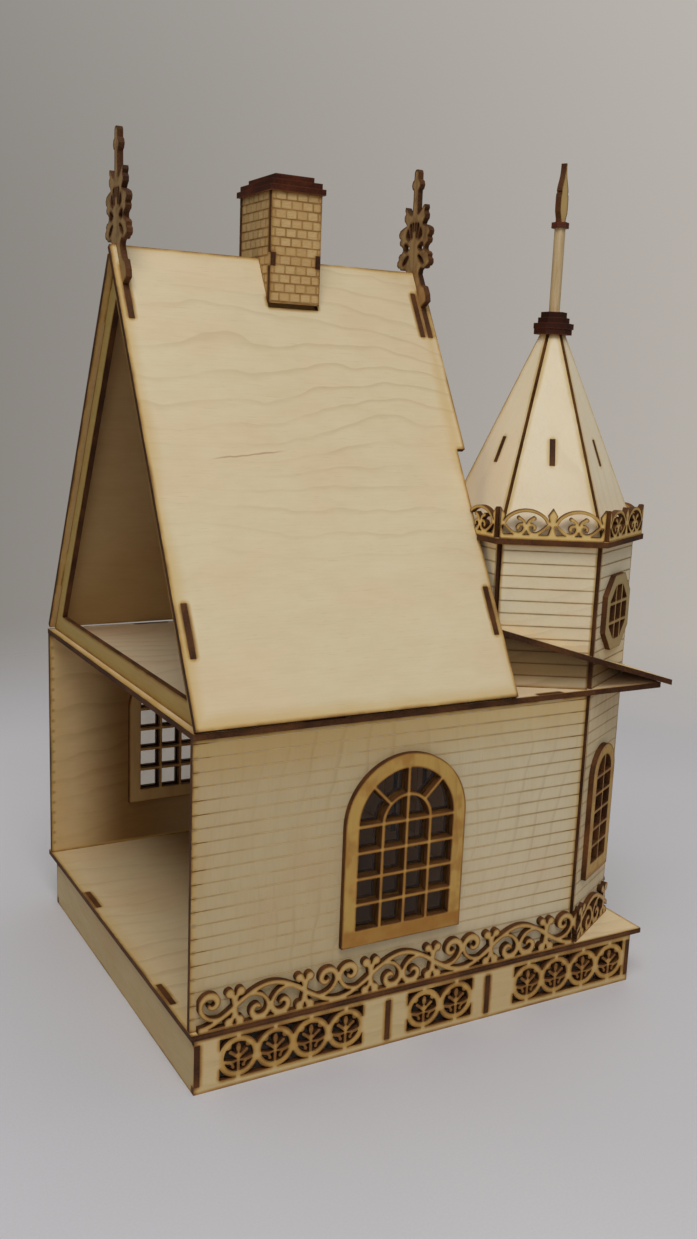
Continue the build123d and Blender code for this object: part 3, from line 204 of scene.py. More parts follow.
def ply_face(name, grain="X", light=(234, 214, 178), dark=(210, 182, 138), line=(176, 138, 92), toast=1.0,
             shift=(0, 0, 0), figure=1.0, wander=4.0, rims=(), gold=(204, 164, 88), brown=(116, 72, 30), reach=0.0024,
             bites=None, streak=None, shade_drift=None, sharp=0.58, calm=None, warm=(), warm_tone=(196, 154, 84), blots=None,
             under=None):
    """Sanded birch veneer, browned towards every cut edge.

    bites is an edge that scored lines cross: position along x, first line, pitch.
    streak is a dark mineral line: its two ends as x and z. shade_drift is painted
    shade, a slow change of tone along x: where it starts and ends, and the tone it
    ends with; after that, where it fades again and how much of it is left.
    calm is where the growth figure fades out: an axis, its end and its start.
    warm lists pierced areas that were heated all over: x from and to, z from and to.
    blots are smoke stains: their fineness, strength and tone. under is the shade below
    a plane that slopes along x: its slope, its height at x = 0, the foot and the tone.
    """
    n = Net(name)
    col, fibre = veneer(n, grain, light, dark, line, shift, figure, wander, sharp, calm)
    if rims:
        col = n.mix(rim_heat_and_shade(n, rims, shift), col, srgb(212, 177, 104))
    # painted shade: a slow darkening along x
    if shade_drift is not None:
        x0, x1, tone = shade_drift[:3]
        amount = n.span(n.xyz()["x"], x0, x1)
        if len(shade_drift) > 3:
            x2, x3, rest = shade_drift[3:]
            amount = n.math("MULTIPLY", amount, n.span(n.xyz()["x"], x2, x3, 1.0, rest))
        col = n.mix(amount, col, srgb(*tone), mode="MULTIPLY")
    if bites is not None:
        at, z0, pitch = bites
        turn = n.math("MULTIPLY", n.math("SUBTRACT", n.xyz()["z"], z0), 2 * math.pi / pitch)
        tooth = n.span(n.math("COSINE", turn), 0.25, 1.0)
        d = n.math("ABSOLUTE", n.math("SUBTRACT", n.xyz()["x"], at))
        col = n.mix(n.math("MULTIPLY", tooth, n.span(d, 0.0004, 0.0040, 0.85, 0.0)), col, srgb(112, 70, 30))
    if warm:
        soft, total = 0.0016, None
        for x0, x1, z0, z1 in warm:
            fx = n.math("MULTIPLY", n.span(n.xyz()["x"], x0 - soft, x0 + soft), n.span(n.xyz()["x"], x1 - soft, x1 + soft, 1.0, 0.0))
            fz = n.math("MULTIPLY", n.span(n.xyz()["z"], z0 - soft, z0 + soft), n.span(n.xyz()["z"], z1 - soft, z1 + soft, 1.0, 0.0))
            f = n.math("MULTIPLY", fx, fz)
            total = f if total is None else n.math("MAXIMUM", total, f)
        patch = n.span(n.noise(n.coords(shift=shift), scale=70.0, detail=2.0), 0.3, 0.7, 0.55, 0.95)
        col = n.mix(n.math("MULTIPLY", total, patch), col, srgb(*warm_tone))
    if blots is not None:
        fine, strength, tone = blots
        blot = n.span(n.noise(n.coords(shift=shift), scale=fine, detail=2.0, rough=0.55), 0.46, 0.70, 0.0, strength)
        col = n.mix(blot, col, srgb(*tone))
    if streak is not None:
        (x0, z0), (x1, z1) = streak
        x = n.xyz()["x"]
        bend = n.span(n.noise(n.coords((1, 1, 1)), scale=60.0, detail=2.0), 0.3, 0.7, -0.0004, 0.0004)
        on = n.math("ADD", n.math("MULTIPLY", n.math("SUBTRACT", x, x0), (z1 - z0) / (x1 - x0)), z0)
        off = n.math("ABSOLUTE", n.math("SUBTRACT", n.math("SUBTRACT", n.xyz()["z"], on), bend))
        within = n.math("MULTIPLY", n.span(x, x0, x0 + 0.012), n.span(x, x1 - 0.016, x1, 1.0, 0.0))
        col = n.mix(n.math("MULTIPLY", within, n.span(off, 0.0001, 0.0006, 0.55, 0.0)), col, srgb(166, 108, 68))
    col = toasted(n, col, n.cut_heat(reach), toast, shift, gold, brown)
    if under is not None:
        col = below(n, col, under)
    n.link(col, n.bsdf.inputs["Base Color"])
    rough = n.span(fibre, 0.3, 0.7, 0.50, 0.64, smooth=False)
    n.link(rough, n.bsdf.inputs["Roughness"])
    n.bsdf.inputs["Specular IOR Level"].default_value = 0.30
    n.bump(fibre, 0.14, 0.0004)
    return n.mat


def score_line(name, grain="Z", light=(234, 214, 178), dark=(210, 182, 138), burn=(112, 74, 38), shift=(0, 0, 0),
               base=0.25, breaks=0.3, ends=None, pale=0.45, under=None):
    """Scored line: the beam burns hardest where it starts and stops, and skips between."""
    n = Net(name)
    col, fibre = veneer(n, grain, light, dark, (176, 138, 92), shift, 0.6, 4.0)
    gap = n.span(n.noise(n.coords((1, 1, 6.0), shift=shift), scale=44.0, detail=3.0, rough=0.6), 0.40, 0.62)
    slow = n.span(n.noise(n.coords((1, 1, 1), shift=shift), scale=10.0, detail=1.0), 0.35, 0.65)
    mask = n.math("ADD", base, n.math("MULTIPLY", n.math("MULTIPLY", gap, slow), breaks))
    if ends is not None:
        x = n.xyz()["x"]
        for at, sign, close, far in ends:
            d = n.math("MULTIPLY", n.math("SUBTRACT", x, at), sign)
            d = n.math("ADD", d, n.span(gap, 0.0, 1.0, -0.004, 0.006))
            mask = n.math("ADD", mask, n.span(d, 0.0, close, 0.62, 0.0))
            mask = n.math("ADD", mask, n.span(d, 0.0, far, 0.34, 0.0))
    else:
        mask = n.math("ADD", mask, n.span(n.cut_heat(), 0.35, 0.8, 0.0, 0.5))
    mask = n.math("MINIMUM", mask, 0.94)
    # paler at the bottom of an unburnt stretch: partly bare wood, partly painted light that lifts the shade inside the
    # groove
    col = n.mix(pale, col, srgb(255, 245, 220))
    col = n.mix(mask, col, srgb(*burn))
    if under is not None:
        col = below(n, col, under)
    n.link(col, n.bsdf.inputs["Base Color"])
    n.bsdf.inputs["Roughness"].default_value = 0.72
    n.bsdf.inputs["Specular IOR Level"].default_value = 0.15
    n.bump(fibre, 0.10, 0.0003)
    return n.mat


def charred(name, a=(58, 33, 17), b=(116, 72, 36), ply_glints=None):
    """Burnt cut edge of the sheet; ply_glints gives the axis across the sheet, if it has one, and lightens bands along
    it: on stacked plates the bands sit at the plate boundaries and are painted glints on the plates' edges.
    """
    n = Net(name)
    v = n.coords()
    big = n.noise(v, scale=48.0, detail=3.0)
    fine = n.noise(v, scale=800.0, detail=2.0)
    t = n.math("ADD", n.math("MULTIPLY", n.span(big, 0.30, 0.74), 0.62), n.math("MULTIPLY", n.span(fine, 0.35, 0.8), 0.34))
    if ply_glints is not None:
        axis, at, pitch, strength = ply_glints
        layer = n.math("COSINE", n.math("MULTIPLY", n.math("SUBTRACT", n.xyz()[axis], at), 2 * math.pi / pitch))
        t = n.math("ADD", t, n.math("MULTIPLY", n.span(layer, 0.55, 1.0), strength), clamp=True)
    n.link(n.mix(t, srgb(*a), srgb(*b)), n.bsdf.inputs["Base Color"])
    n.link(n.span(fine, 0.3, 0.7, 0.62, 0.80, smooth=False), n.bsdf.inputs["Roughness"])
    n.bsdf.inputs["Specular IOR Level"].default_value = 0.22
    n.bump(fine, 0.28, 0.0003)
    return n.mat


def brick_face(name, axis, start, light=(228, 196, 138), dark=(204, 166, 106)):
    """Engraved brick: every brick has its own tone, the veneer shows through."""
    n = Net(name)
    col, fibre = veneer(n, "Z", (228, 196, 140), (206, 168, 110), (170, 128, 78), (5.0, 2.0, 1.0), 0.5, 4.0)
    rowi = n.math("FLOOR", n.math("DIVIDE", n.math("SUBTRACT", n.xyz()["z"], 0.4605 - 0.3), 0.005))
    odd = n.math("MODULO", rowi, 2.0)
    u = n.math("DIVIDE", n.math("SUBTRACT", n.xyz()[axis], start), 0.0067)
    cell = n.math("FLOOR", n.math("SUBTRACT", u, n.math("MULTIPLY", odd, 0.5)))
    pack = n.add("ShaderNodeCombineXYZ")
    n.link(cell, pack.inputs[0])
    n.link(rowi, pack.inputs[1])
    wn = n.add("ShaderNodeTexWhiteNoise", noise_dimensions="2D")
    n.link(pack.outputs[0], wn.inputs["Vector"])
    tone = n.mix(wn.outputs["Value"], srgb(*light), srgb(*dark))
    raster = n.noise(n.coords((1, 1, 9)), scale=420.0, detail=1.0)
    col = n.mix(0.62, col, tone)
    col = n.mix(n.math("MULTIPLY", n.span(raster, 0.40, 0.66), 0.30), col, srgb(176, 134, 80))
    col = toasted(n, col, n.cut_heat(0.0024), 0.8, (2, 1, 3), (190, 146, 82), (104, 64, 30))
    n.link(col, n.bsdf.inputs["Base Color"])
    n.bsdf.inputs["Roughness"].default_value = 0.66
    n.bsdf.inputs["Specular IOR Level"].default_value = 0.2
    n.bump(raster, 0.18, 0.0003)
    return n.mat


def mortar(name):
    n = Net(name)
    t = n.span(n.noise(n.coords(), scale=120.0, detail=3.0), 0.3, 0.7)
    n.link(n.mix(t, srgb(178, 136, 82), srgb(206, 168, 112)), n.bsdf.inputs["Base Color"])
    n.bsdf.inputs["Roughness"].default_value = 0.78
    n.bsdf.inputs["Specular IOR Level"].default_value = 0.12
    return n.mat


def dowel(name, light=(226, 202, 160), dark=(196, 166, 118)):
    """Round hardwood stock, straight grain, a little soiled by handling."""
    n = Net(name)
    streak = n.noise(n.coords((9, 9, 0.55)), scale=130.0, detail=3.0, rough=0.6)
    slow = n.noise(n.coords(), scale=38.0, detail=2.0)
    fleck = n.span(n.noise(n.coords((8, 8, 0.8)), scale=420.0, detail=1.0), 0.64, 0.72)
    t = n.math("ADD", n.math("MULTIPLY", n.span(streak, 0.3, 0.7), 0.6), n.math("MULTIPLY", n.span(slow, 0.3, 0.7), 0.35))
    col = n.mix(t, srgb(*light), srgb(*dark))
    col = n.mix(n.math("MULTIPLY", fleck, 0.35), col, srgb(150, 110, 66))
    n.link(col, n.bsdf.inputs["Base Color"])
    n.bsdf.inputs["Roughness"].default_value = 0.5
    n.bsdf.inputs["Specular IOR Level"].default_value = 0.35
    n.bump(streak, 0.12, 0.0003)
    return n.mat


def wire_steel(name):
    n = Net(name)
    draw = n.noise(n.coords((20, 20, 1)), scale=700.0, detail=2.0)
    n.link(n.mix(n.span(draw, 0.3, 0.7), srgb(170, 168, 164), srgb(120, 118, 116)), n.bsdf.inputs["Base Color"])
    n.link(n.span(draw, 0.3, 0.7, 0.28, 0.42), n.bsdf.inputs["Roughness"])
    n.bsdf.inputs["Metallic"].default_value = 1.0
    return n.mat


def clear_sheet(name):
    """Thin clear sheet tinted dark brown as painted shade of the room behind it, with a faint haze from handling."""
    n = Net(name)
    haze = n.noise(n.coords(), scale=34.0, detail=3.0, rough=0.6)
    n.link(n.mix(n.span(haze, 0.35, 0.7), (0.68, 0.63, 0.54, 1), (0.59, 0.54, 0.46, 1)), n.bsdf.inputs["Base Color"])
    n.link(n.span(haze, 0.35, 0.75, 0.01, 0.05), n.bsdf.inputs["Roughness"])
    n.bsdf.inputs["Transmission Weight"].default_value = 1.0
    n.bsdf.inputs["IOR"].default_value = 1.27
    return n.mat


# lower face of the stacked cap on the tower, and the ends of a mineral line in the roof
CAP_Z = 394.365
STREAK = ((33.5, 319.0), (84.0, 324.6))


def hx(x):
    return (x - OX) / 1000.0


def hy(y):
    return (y - OY) / 1000.0


WALL_LIGHT, WALL_DARK = (225, 210, 175), (207, 188, 150)
wall = {
    "near_wall": ply_face("wall_near", "Z", WALL_LIGHT, WALL_DARK, (176, 146, 104), shift=(1.3, 0.2, 0.9), figure=0.80, wander=2.4, sharp=0.76,
                          # the wide band along the wall's top: a little browning at the cut, mostly painted shade under
                          # the eave
                          rims=(("x", hx(0.2), 0.012, 0.30), ("x", hx(244.3), 0.010, 0.30), ("z", 0.1891, 0.034, 0.60)),
                          # shade_drift darkens the wall towards the open end: painted shade
                          bites=(hx(0.2), 0.034, 0.00729), shade_drift=(hx(215.0), hx(70.0), (235, 227, 213))),
    "far_wall": ply_face("wall_far", "X", WALL_LIGHT, WALL_DARK, shift=(4.1, 1.2, 2.9), figure=0.6,
                         rims=(("x", hx(0.2), 0.014, 0.45),), bites=(hx(0.2), 0.034, 0.00729)),
    "front_wall": ply_face("wall_front", "Z", WALL_LIGHT, WALL_DARK, shift=(2.3, 3.3, 0.1), figure=0.6),
}
bay_face = ply_face("wall_bay", "Z", (232, 214, 174), (210, 188, 143), shift=(6.2, 1.9, 3.4), figure=0.4)
# the tower's sheet is paler than the walls': partly a paler veneer, partly painted sheen
TOWER_LIGHT, TOWER_DARK = (248, 235, 202), (230, 211, 170)
# painted shade under the pent roof: the middle of the pent roof's sheet, slope along x, height at x = 0; foot and tone
# of the shade on the wall below it
PENT_SHADE = (0.2988, 0.2386, 0.1923, (146, 126, 96))
tower_face = ply_face("wall_tower", "X", TOWER_LIGHT, TOWER_DARK, shift=(0.7, 5.1, 2.2), figure=0.4, reach=0.0018,
                      under=PENT_SHADE)
# painted shade: the walls' inside faces, the roofs' inner faces, the attic floor's underside and the front wall's
# inside get darker, browner sheets; shade_drift also darkens the walls' insides a little way in from the open end
inner_x_shade = ply_face("inside_x_painted_shade", "X", (224, 195, 145), (194, 159, 105), shift=(7.7, 0.3, 4.4), figure=0.6, wander=1.6,
                   rims=(("x", hx(0.2), 0.016, 0.35),), bites=(hx(0.2), 0.034, 0.00729),
                   shade_drift=(hx(14.0), hx(54.0), (164, 143, 114), hx(60.0), hx(130.0), 0.15))
inner_roof_shade = ply_face("inside_roof_painted_shade", "X", (203, 172, 122), (177, 141, 89), shift=(2.7, 6.3, 1.4), figure=0.6)
inner_y_shade = ply_face("inside_y_painted_shade", "Y", (222, 193, 143), (192, 157, 102), shift=(3.7, 2.3, 8.4))
roof_face = ply_face("roof_sheet", "X", (236, 220, 184), (217, 195, 150), (194, 165, 117), shift=(3.1, 0.4, 1.7),
                     figure=0.62, wander=3.4, toast=1.05, sharp=0.70, calm=("z", 0.245, 0.285),
                     rims=(("x", hx(0.85), 0.009, 0.62), ("x", hx(193.0), 0.007, 0.42), ("z", 0.1945, 0.009, 0.55),
                           ("z", 0.4297, 0.006, 0.42)),
                     streak=((hx(STREAK[0][0]), STREAK[0][1] / 1000), (hx(STREAK[1][0]), STREAK[1][1] / 1000)))
# paler than the roof's sheet: partly a paler veneer, partly painted sheen
pyramid_face = ply_face("pyramid_sheet", "Z", (252, 237, 206), (238, 219, 180), (206, 178, 130), shift=(1.9, 7.3, 0.6), figure=0.35,
                        toast=0.48, reach=0.0030, gold=(222, 192, 124), brown=(150, 104, 52))
plinth_face = ply_face("plinth_sheet", "X", (218, 196, 148), (197, 168, 113), shift=(5.9, 3.3, 1.6), toast=1.25, figure=0.45,
                       gold=(196, 150, 70), brown=(120, 74, 28), reach=0.0024,
                       warm=tuple((hx(x0), hx(x1), 0.0045, 0.0279) for x0, x1 in ((16.0, 100.6), (129.6, 173.2), (203.2, 286.6))))
# a darker, browner copy of the plinth's sheet: painted shade
plinth_end = ply_face("plinth_end_sheet", "Y", (210, 186, 136), (188, 158, 104), shift=(8.9, 1.3, 5.6), figure=0.35)
# shade_drift darkens the floor further in from the open end and lets go towards the front wall: painted shade
floor_face = ply_face("floor_sheet", "X", (235, 214, 172), (212, 184, 135), shift=(2.2, 9.1, 0.4), figure=0.45, wander=1.6,
                      rims=(("x", hx(0.2), 0.012, 0.5),), shade_drift=(hx(45.0), hx(112.0), (172, 153, 129), hx(180.0), hx(238.0), 0.0))
attic_face = ply_face("attic_sheet", "X", (247, 226, 190), (225, 196, 149), shift=(5.2, 4.1, 0.8), figure=0.4, wander=2.0,
                      rims=(("x", hx(0.2), 0.0075, 0.95),))
frame_face = ply_face("gable_sheet", "Y", (206, 178, 106), (182, 147, 76), shift=(0.2, 6.6, 2.4), toast=1.1, figure=0.3, gold=(180, 136, 56))
pent_face = ply_face("pent_sheet", "Y", (250, 220, 156), (228, 190, 120), shift=(0.9, 4.6, 7.4), toast=1.1, figure=0.5)
sash_face = ply_face("sash_sheet", "Z", (204, 166, 90), (176, 134, 60), (140, 96, 42), shift=(9.2, 0.6, 1.4), toast=1.35,
                     figure=0.5, gold=(176, 124, 50), brown=(104, 60, 22), reach=0.0013,
                     warm=((-0.2, 0.2, 0.060, 0.0728),), warm_tone=(164, 110, 40), blots=(85.0, 0.60, (164, 106, 40)))
# the inner sashes get a darker, browner sheet than the outer ones: painted shade
inner_sash = ply_face("inner_sash_painted_shade", "Z", (196, 164, 112), (170, 136, 86), (132, 96, 52), shift=(5.2, 2.6, 8.4), toast=1.0,
                      figure=0.4, gold=(172, 128, 66), brown=(100, 62, 28), reach=0.0013)
oct_face = ply_face("oct_sash_sheet", "Z", (194, 169, 120), (168, 140, 90), (132, 96, 52), shift=(3.2, 5.6, 0.4), toast=0.9,
                    figure=0.4, gold=(186, 152, 88), brown=(110, 72, 32), reach=0.0014)
# painted shade: the insides of the bay and tower and the pent roof's underside get darker, browner sheets
inner_tower_shade = ply_face("inside_tower_painted_shade", "Z", (170, 134, 92), (138, 102, 64), (104, 72, 40), shift=(7.1, 3.6, 2.4), figure=0.5)
pent_underside_shade = ply_face("pent_underside_painted_shade", "Y", (176, 138, 94), (146, 108, 68), (110, 76, 42), shift=(4.9, 1.6, 3.4), figure=0.5)
fret_face = ply_face("fret_sheet", "X", (211, 179, 119), (187, 151, 90), shift=(4.4, 8.6, 3.4), toast=1.15, figure=0.4,
                     gold=(186, 138, 62), brown=(112, 68, 27), reach=0.0015)
rail_face = ply_face("rail_sheet", "X", (240, 207, 137), (216, 179, 106), shift=(2.4, 7.6, 5.4), toast=1.05, figure=0.4,
                     gold=(202, 158, 78), brown=(108, 66, 24), reach=0.0013)
finial_face = ply_face("finial_sheet", "Z", (192, 156, 102), (158, 120, 70), (124, 86, 44), shift=(6.4, 2.6, 9.4), toast=1.2,
                       gold=(144, 102, 52), brown=(86, 50, 22), reach=0.0017, blots=(120.0, 0.55, (112, 74, 38)))
spear_face = ply_face("spear_sheet", "Z", (228, 194, 126), (204, 164, 96), (150, 106, 54), shift=(1.4, 9.6, 4.4), toast=1.1,
                      gold=(170, 122, 58), brown=(84, 48, 22), reach=0.0016)
cap_face = ply_face("cap_sheet", "X", (176, 124, 80), (138, 88, 54), (102, 60, 34), shift=(6.1, 5.5, 0.3), toast=1.0,
                    gold=(140, 90, 50), brown=(78, 42, 22))
door_face = ply_face("door_sheet", "Z", (216, 182, 120), (190, 150, 88), shift=(3.3, 7.7, 6.1), toast=1.05)
door_panel = ply_face("door_recess", "Z", (198, 158, 98), (170, 128, 70), shift=(1.3, 4.7, 2.1), toast=0.9)

edge = charred("charred_edge")
# the light bands at the boundaries of the stacked plates are painted glints
edge_cap = {
    "tower_cap_plates": charred("charred_tower_cap", (44, 16, 4), (87, 40, 18), ply_glints=("z", CAP_Z / 1000, 0.0032, 0.55)),
    "chimney_cap_plates": charred("charred_chimney_cap", (60, 26, 11), (110, 54, 27), ply_glints=("z", 0.4652, 0.0032, 0.45)),
    "spire_collar": charred("charred_collar", (62, 27, 17), (112, 56, 35), ply_glints=("z", 0.4554, 0.0016, 0.3)),
}
edge_soft = charred("charred_fret", (58, 32, 13), (122, 76, 35))
edge_thin = charred("charred_pyramid", (88, 54, 26), (146, 96, 46))
edge_flat = charred("charred_floor_edge", ply_glints=("z", 0.0324, 0.0032, 0.22))

near_score = score_line("score_near", "Z", WALL_LIGHT, WALL_DARK, burn=(116, 76, 36), shift=(1.3, 0.2, 0.9), base=0.07, breaks=0.28,
                        ends=((hx(0.2), 1.0, 0.009, 0.045), (hx(244.3), -1.0, 0.012, 0.075)), pale=0.34)
bay_score = score_line("score_bay", "Z", WALL_LIGHT, WALL_DARK, burn=(124, 84, 42), shift=(6.2, 1.9, 3.4), base=0.14, breaks=0.40, pale=0.4)
tower_score = score_line("score_tower", "X", TOWER_LIGHT, TOWER_DARK, burn=(112, 76, 38), shift=(0.7, 5.1, 2.2),
                         base=0.45, breaks=0.30, under=PENT_SHADE)
brick_x = brick_face("brick_long", "x", hx(88.5 + 2.4))
brick_y = brick_face("brick_side", "y", hy(118.6 + 3.2 + 1.2))
mortar_line = mortar("brick_joint")
pane_mat = clear_sheet("clear_pane")


# -------------------------------------------------- faces, cut edges, score lines
def islands(mesh):
    """Vertex positions, polygons and the solid each polygon belongs to."""
    nv = len(mesh.vertices)
    co = np.zeros(nv * 3, np.float64)
    mesh.vertices.foreach_get("co", co)
    co = co.reshape(-1, 3)
    key = np.round(co * 1e6).astype(np.int64)
    _, ids = np.unique(key, axis=0, return_inverse=True)
    ids = ids.reshape(-1)
    parent = list(range(int(ids.max()) + 1))

    def find(i):
        while parent[i] != i:
            parent[i] = parent[parent[i]]
            i = parent[i]
        return i

    polys = [list(p.vertices) for p in mesh.polygons]
    for p in polys:
        a = find(ids[p[0]])
        for q in p[1:]:
            b = find(ids[q])
            if a != b:
                parent[b] = a
    roots = np.array([find(ids[p[0]]) for p in polys])
    return co, polys, roots


def split_sheet(obj, face_mat, edge_mat, score_mat=None, normals=1, stacked=False, inner=None):
    """Gives a sheet's two faces, its cut edges and its scored lines their own finish.

    stacked keeps every level of a pile of plates as a face. inner is a
    direction and the material of the face that looks that way, a darker one as painted shade.
    """
    me = obj.data
    me.materials.clear()
    for m in (face_mat, edge_mat, score_mat or face_mat, inner[1] if inner else face_mat):
        me.materials.append(m)
    co, polys, roots = islands(me)
    count = len(me.polygons)
    nrm, cen, area = np.zeros(count * 3), np.zeros(count * 3), np.zeros(count)
    me.polygons.foreach_get("normal", nrm)
    me.polygons.foreach_get("center", cen)
    me.polygons.foreach_get("area", area)
    nrm, cen = nrm.reshape(-1, 3), cen.reshape(-1, 3)
    index = np.ones(count, np.int32)
    for r in np.unique(roots):
        sel = np.where(roots == r)[0]
        left = sel.copy()
        for _ in range(normals):
            best, total = None, 0.0
            for c in nrm[left[np.argsort(-area[left])[:40]]]:
                s = area[left][np.abs(nrm[left] @ c) > 0.999].sum()
                if s > total * 1.0001:
                    best, total = c, s
            d = cen[sel] @ best
            flat = np.abs(nrm[sel] @ best) > 0.999
            hi, lo = d[flat].max(), d[flat].min()
            skin = flat & ((d > hi - 6e-5) | (d < lo + 6e-5))
            if stacked or normals > 1:
                skin = flat
            index[sel[skin]] = 0
            if normals == 1 and not stacked:
                index[sel[flat & ~skin]] = 2
                if score_mat is not None:
                    # the low walls of a scored line lie within the line's depth
                    for i in sel[~flat]:
                        h = co[polys[i]] @ best
                        if hi - h.min() < 3.2e-4 or h.max() - lo < 3.2e-4:
                            index[i] = 2
            left = sel[index[sel] == 1]
            if len(left) == 0:
                break
    if inner:
        facing = nrm @ np.array(inner[0]) > 0.4
        index[(index == 0) & facing] = 3
    me.polygons.foreach_set("material_index", index)
    me.update()


def whole(obj, mat):
    obj.data.materials.clear()
    obj.data.materials.append(mat)


for n, o in nodes.items():
    if n.endswith("glazing"):
        whole(o, pane_mat)
    elif n in ("spire_spindle", "door_knob"):
        whole(o, dowel(n + "_wood"))
    elif n == "door_hinge_pin":
        whole(o, wire_steel("pin_wire"))
    elif n == "bay_corner_post":
        whole(o, edge)
    elif n in ("near_wall", "far_wall"):
        split_sheet(o, wall[n], edge, near_score, inner=((0, 1 if n == "near_wall" else -1, 0), inner_x_shade))
    elif n == "front_wall":
        split_sheet(o, wall[n], edge, bay_score, inner=((-1, 0, 0), inner_y_shade))
    elif n.startswith(("bay_", "tower_")) and n.endswith("_panel"):
        # the side towards the tower's axis is the inside
        mid = sum((Vector(c) for c in o.bound_box), Vector()) / 8
        inward = (Vector((hx(245.83), hy(61.13), mid.z)) - mid).normalized()
        split_sheet(o, bay_face if n.startswith("bay_") else tower_face, edge,
                    bay_score if n.startswith("bay_") else tower_score, inner=(tuple(inward), inner_tower_shade))
    elif n == "tower_roof_panels":
        split_sheet(o, pyramid_face, edge_thin, normals=6)
    elif n == "roof_near_panel":
        split_sheet(o, roof_face, edge, inner=((0, 0.87, -0.5), inner_roof_shade))
    elif n == "roof_far_panel":
        split_sheet(o, roof_face, edge, inner=((0, -0.87, -0.5), inner_roof_shade))
    elif n in ("chimney_near_panel", "chimney_far_panel"):
        split_sheet(o, brick_x, edge, mortar_line)
    elif n == "chimney_side_panels":
        split_sheet(o, brick_y, edge, mortar_line)
    elif n in ("chimney_cap_plates", "tower_cap_plates", "spire_collar"):
        split_sheet(o, cap_face, edge_cap[n], stacked=True)
    elif n in ("tower_window_sashes", "gable_window_sash"):
        split_sheet(o, oct_face, edge)
    elif n.endswith("inner_sash"):
        split_sheet(o, inner_sash, edge_soft)
    elif "sash" in n:
        split_sheet(o, sash_face, edge_soft)
    elif n == "tower_railings":
        split_sheet(o, rail_face, edge_soft)
    elif "trim" in n or n in ("door_casing", "door_stop_frame"):
        split_sheet(o, fret_face, edge_soft)
    elif "finial" in n:
        split_sheet(o, finial_face, edge)
    elif n == "spire_spear":
        split_sheet(o, spear_face, edge)
    elif n == "door_leaf":
        split_sheet(o, door_face, edge, door_panel)
    elif n in ("plinth_open_end_panel", "plinth_porch_end_panel", "plinth_cross_ribs"):
        split_sheet(o, plinth_end, edge)
    elif n.startswith("plinth"):
        split_sheet(o, plinth_face, edge)
    elif n in ("gable_frame", "gable_wall"):
        split_sheet(o, frame_face, edge)
    elif n == "attic_floor":
        split_sheet(o, attic_face, edge, inner=((0, 0, -1), inner_roof_shade))
    elif n == "base_floor":
        split_sheet(o, floor_face, edge_flat)
    elif n == "pent_roof":
        split_sheet(o, pent_face, edge, inner=((0, 0, -1), pent_underside_shade))
    elif n == "tower_roof_ribs":
        split_sheet(o, pent_face, edge, normals=1)
    else:
        split_sheet(o, pent_face, edge)

# ----------------------------------------------------------------- floor, light
floor = Net("pale_floor")
speck = floor.noise(floor.coords(), scale=700.0, detail=2.0)
slow = floor.noise(floor.coords(), scale=2.2, detail=2.0)
fl = floor.math("ADD", floor.math("MULTIPLY", speck, 0.25), floor.math("MULTIPLY", slow, 0.75))
floor.link(floor.mix(floor.span(fl, 0.35, 0.65), srgb(219, 218, 222), srgb(212, 211, 216)), floor.bsdf.inputs["Base Color"])
floor.bsdf.inputs["Roughness"].default_value = 0.55
floor.bsdf.inputs["Specular IOR Level"].default_value = 0.25
# the floor melts into the room's grey some way off
away = floor.add("ShaderNodeVectorMath", operation="LENGTH")
floor.link(floor.coords(), away.inputs[0])
clear = floor.add("ShaderNodeBsdfTransparent")
blend = floor.add("ShaderNodeMixShader")
floor.link(floor.span(away.outputs["Value"], 0.45, 1.15), blend.inputs[0])
floor.link(floor.bsdf.outputs["BSDF"], blend.inputs[1])
floor.link(clear.outputs[0], blend.inputs[2])
floor.link(blend.outputs[0], floor.out.inputs["Surface"])
me = bpy.data.meshes.new("floor")
ring = [(1.5 * math.cos(math.radians(a)), 1.5 * math.sin(math.radians(a)), 0.0) for a in range(0, 360, 6)]
me.from_pydata(ring, [], [tuple(range(len(ring)))])
floor_obj = bpy.data.objects.new("floor", me)
bpy.context.scene.collection.objects.link(floor_obj)
me.materials.append(floor.mat)

yaw, pitch, roll = math.radians(29.65), math.radians(11.43), math.radians(2.34)
SIDE = (math.cos(yaw), -math.sin(yaw), 0.0)
AHEAD = (math.sin(yaw), math.cos(yaw), 0.0)

# A grey room with a pale ceiling: dimmer behind the viewer, brighter on the right.
world = bpy.data.worlds.new("soft_room")
bpy.context.scene.world = world
world.use_nodes = True
wt = world.node_tree
wt.nodes.clear()


def wnode(kind, **props):
    w = wt.nodes.new(kind)
    for k, v in props.items():
        setattr(w, k, v)
    return w


def wmath(op, a, b):
    w = wnode("ShaderNodeMath", operation=op)
    for s, v in ((w.inputs[0], a), (w.inputs[1], b)):
        if isinstance(v, bpy.types.NodeSocket):
            wt.links.new(v, s)
        else:
            s.default_value = v
    return w.outputs[0]


wtc = wnode("ShaderNodeTexCoord")


def toward(axis):
    d = wnode("ShaderNodeVectorMath", operation="DOT_PRODUCT")
    wt.links.new(wtc.outputs["Generated"], d.inputs[0])
    d.inputs[1].default_value = axis
    return d.outputs["Value"]


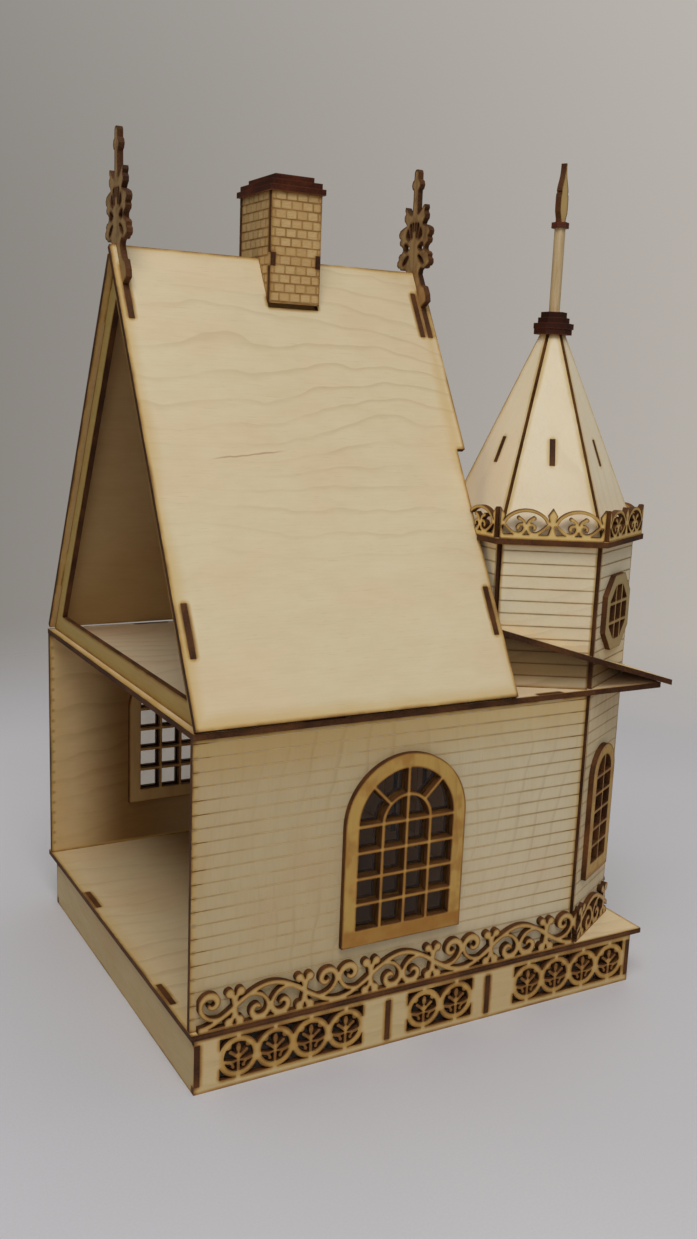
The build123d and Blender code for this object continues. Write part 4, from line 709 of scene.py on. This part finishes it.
side = wnode("ShaderNodeMapRange")
wt.links.new(toward(SIDE), side.inputs["Value"])
for k, v in (("From Min", -0.34), ("From Max", 0.34), ("To Min", 0.62), ("To Max", 1.28)):
    side.inputs[k].default_value = v
front = wnode("ShaderNodeMapRange")
wt.links.new(toward(AHEAD), front.inputs["Value"])
for k, v in (("From Min", -0.2), ("From Max", 0.85), ("To Min", 0.04), ("To Max", 0.38)):
    front.inputs[k].default_value = v
edge_dim = wnode("ShaderNodeMapRange")
wt.links.new(toward(SIDE), edge_dim.inputs["Value"])
for k, v in (("From Min", 0.36), ("From Max", 0.9), ("To Min", 1.0), ("To Max", 0.35)):
    edge_dim.inputs[k].default_value = v
up = wmath("MAXIMUM", toward((0.0, 0.0, 1.0)), 0.0)
walls = wnode("ShaderNodeBackground")
walls.inputs["Color"].default_value = (1.0, 0.93, 0.85, 1.0)
wt.links.new(wmath("MULTIPLY", wmath("MULTIPLY", side.outputs["Result"], edge_dim.outputs["Result"]), front.outputs["Result"]),
             walls.inputs["Strength"])
ceiling = wnode("ShaderNodeBackground")
ceiling.inputs["Color"].default_value = (0.97, 0.985, 1.0, 1.0)
wt.links.new(wmath("MULTIPLY", wmath("MULTIPLY", up, up), 0.50), ceiling.inputs["Strength"])
both = wnode("ShaderNodeAddShader")
wt.links.new(walls.outputs[0], both.inputs[0])
wt.links.new(ceiling.outputs[0], both.inputs[1])
wout = wnode("ShaderNodeOutputWorld")
wt.links.new(both.outputs[0], wout.inputs["Surface"])


def area_light(name, where, target, size, watts, colour=(1, 1, 1)):
    d = bpy.data.lights.new(name, "AREA")
    d.shape = "RECTANGLE"
    d.size, d.size_y = size
    d.energy = watts
    d.color = colour
    o = bpy.data.objects.new(name, d)
    bpy.context.scene.collection.objects.link(o)
    o.location = where
    o.rotation_euler = (Vector(target) - Vector(where)).to_track_quat("-Z", "Y").to_euler()
    return o


area_light("ceiling_panel", (-0.54, -0.99, 1.92), (0.0, 0.0, 0.2), (1.2, 1.0), 17.2, (1.0, 0.99, 0.975))
area_light("front_panel", (-0.70, -1.94, 0.98), (0.0, 0.0, 0.25), (1.6, 1.2), 6.4, (1.0, 0.985, 0.96))

# ----------------------------------------------------------------------- camera
fwd = Vector((math.sin(yaw) * math.cos(pitch), math.cos(yaw) * math.cos(pitch), -math.sin(pitch)))
right = Vector((math.cos(yaw), -math.sin(yaw), 0.0))
down = fwd.cross(right)
r2 = math.cos(roll) * right - math.sin(roll) * down
d2 = math.sin(roll) * right + math.cos(roll) * down
cam_data = bpy.data.cameras.new("photo_view")
cam_data.sensor_fit = "AUTO"
cam_data.sensor_width = 36.0
W, H, F = 697.0, 1239.0, 1192.52
cam_data.lens = F * 36.0 / H
cam_data.shift_x = (W / 2 - 359.78) / H
cam_data.shift_y = (627.64 - H / 2) / H
cam_data.clip_start, cam_data.clip_end = 0.01, 50.0
cam = bpy.data.objects.new("photo_view", cam_data)
bpy.context.scene.collection.objects.link(cam)
m = Matrix.Identity(4)
for i in range(3):
    m[i][0], m[i][1], m[i][2] = r2[i], -d2[i], -fwd[i]
m.translation = row(-205.4, -516.02, 360.05)
cam.matrix_world = m
bpy.context.scene.camera = cam
bpy.context.scene.view_settings.view_transform = "Standard"
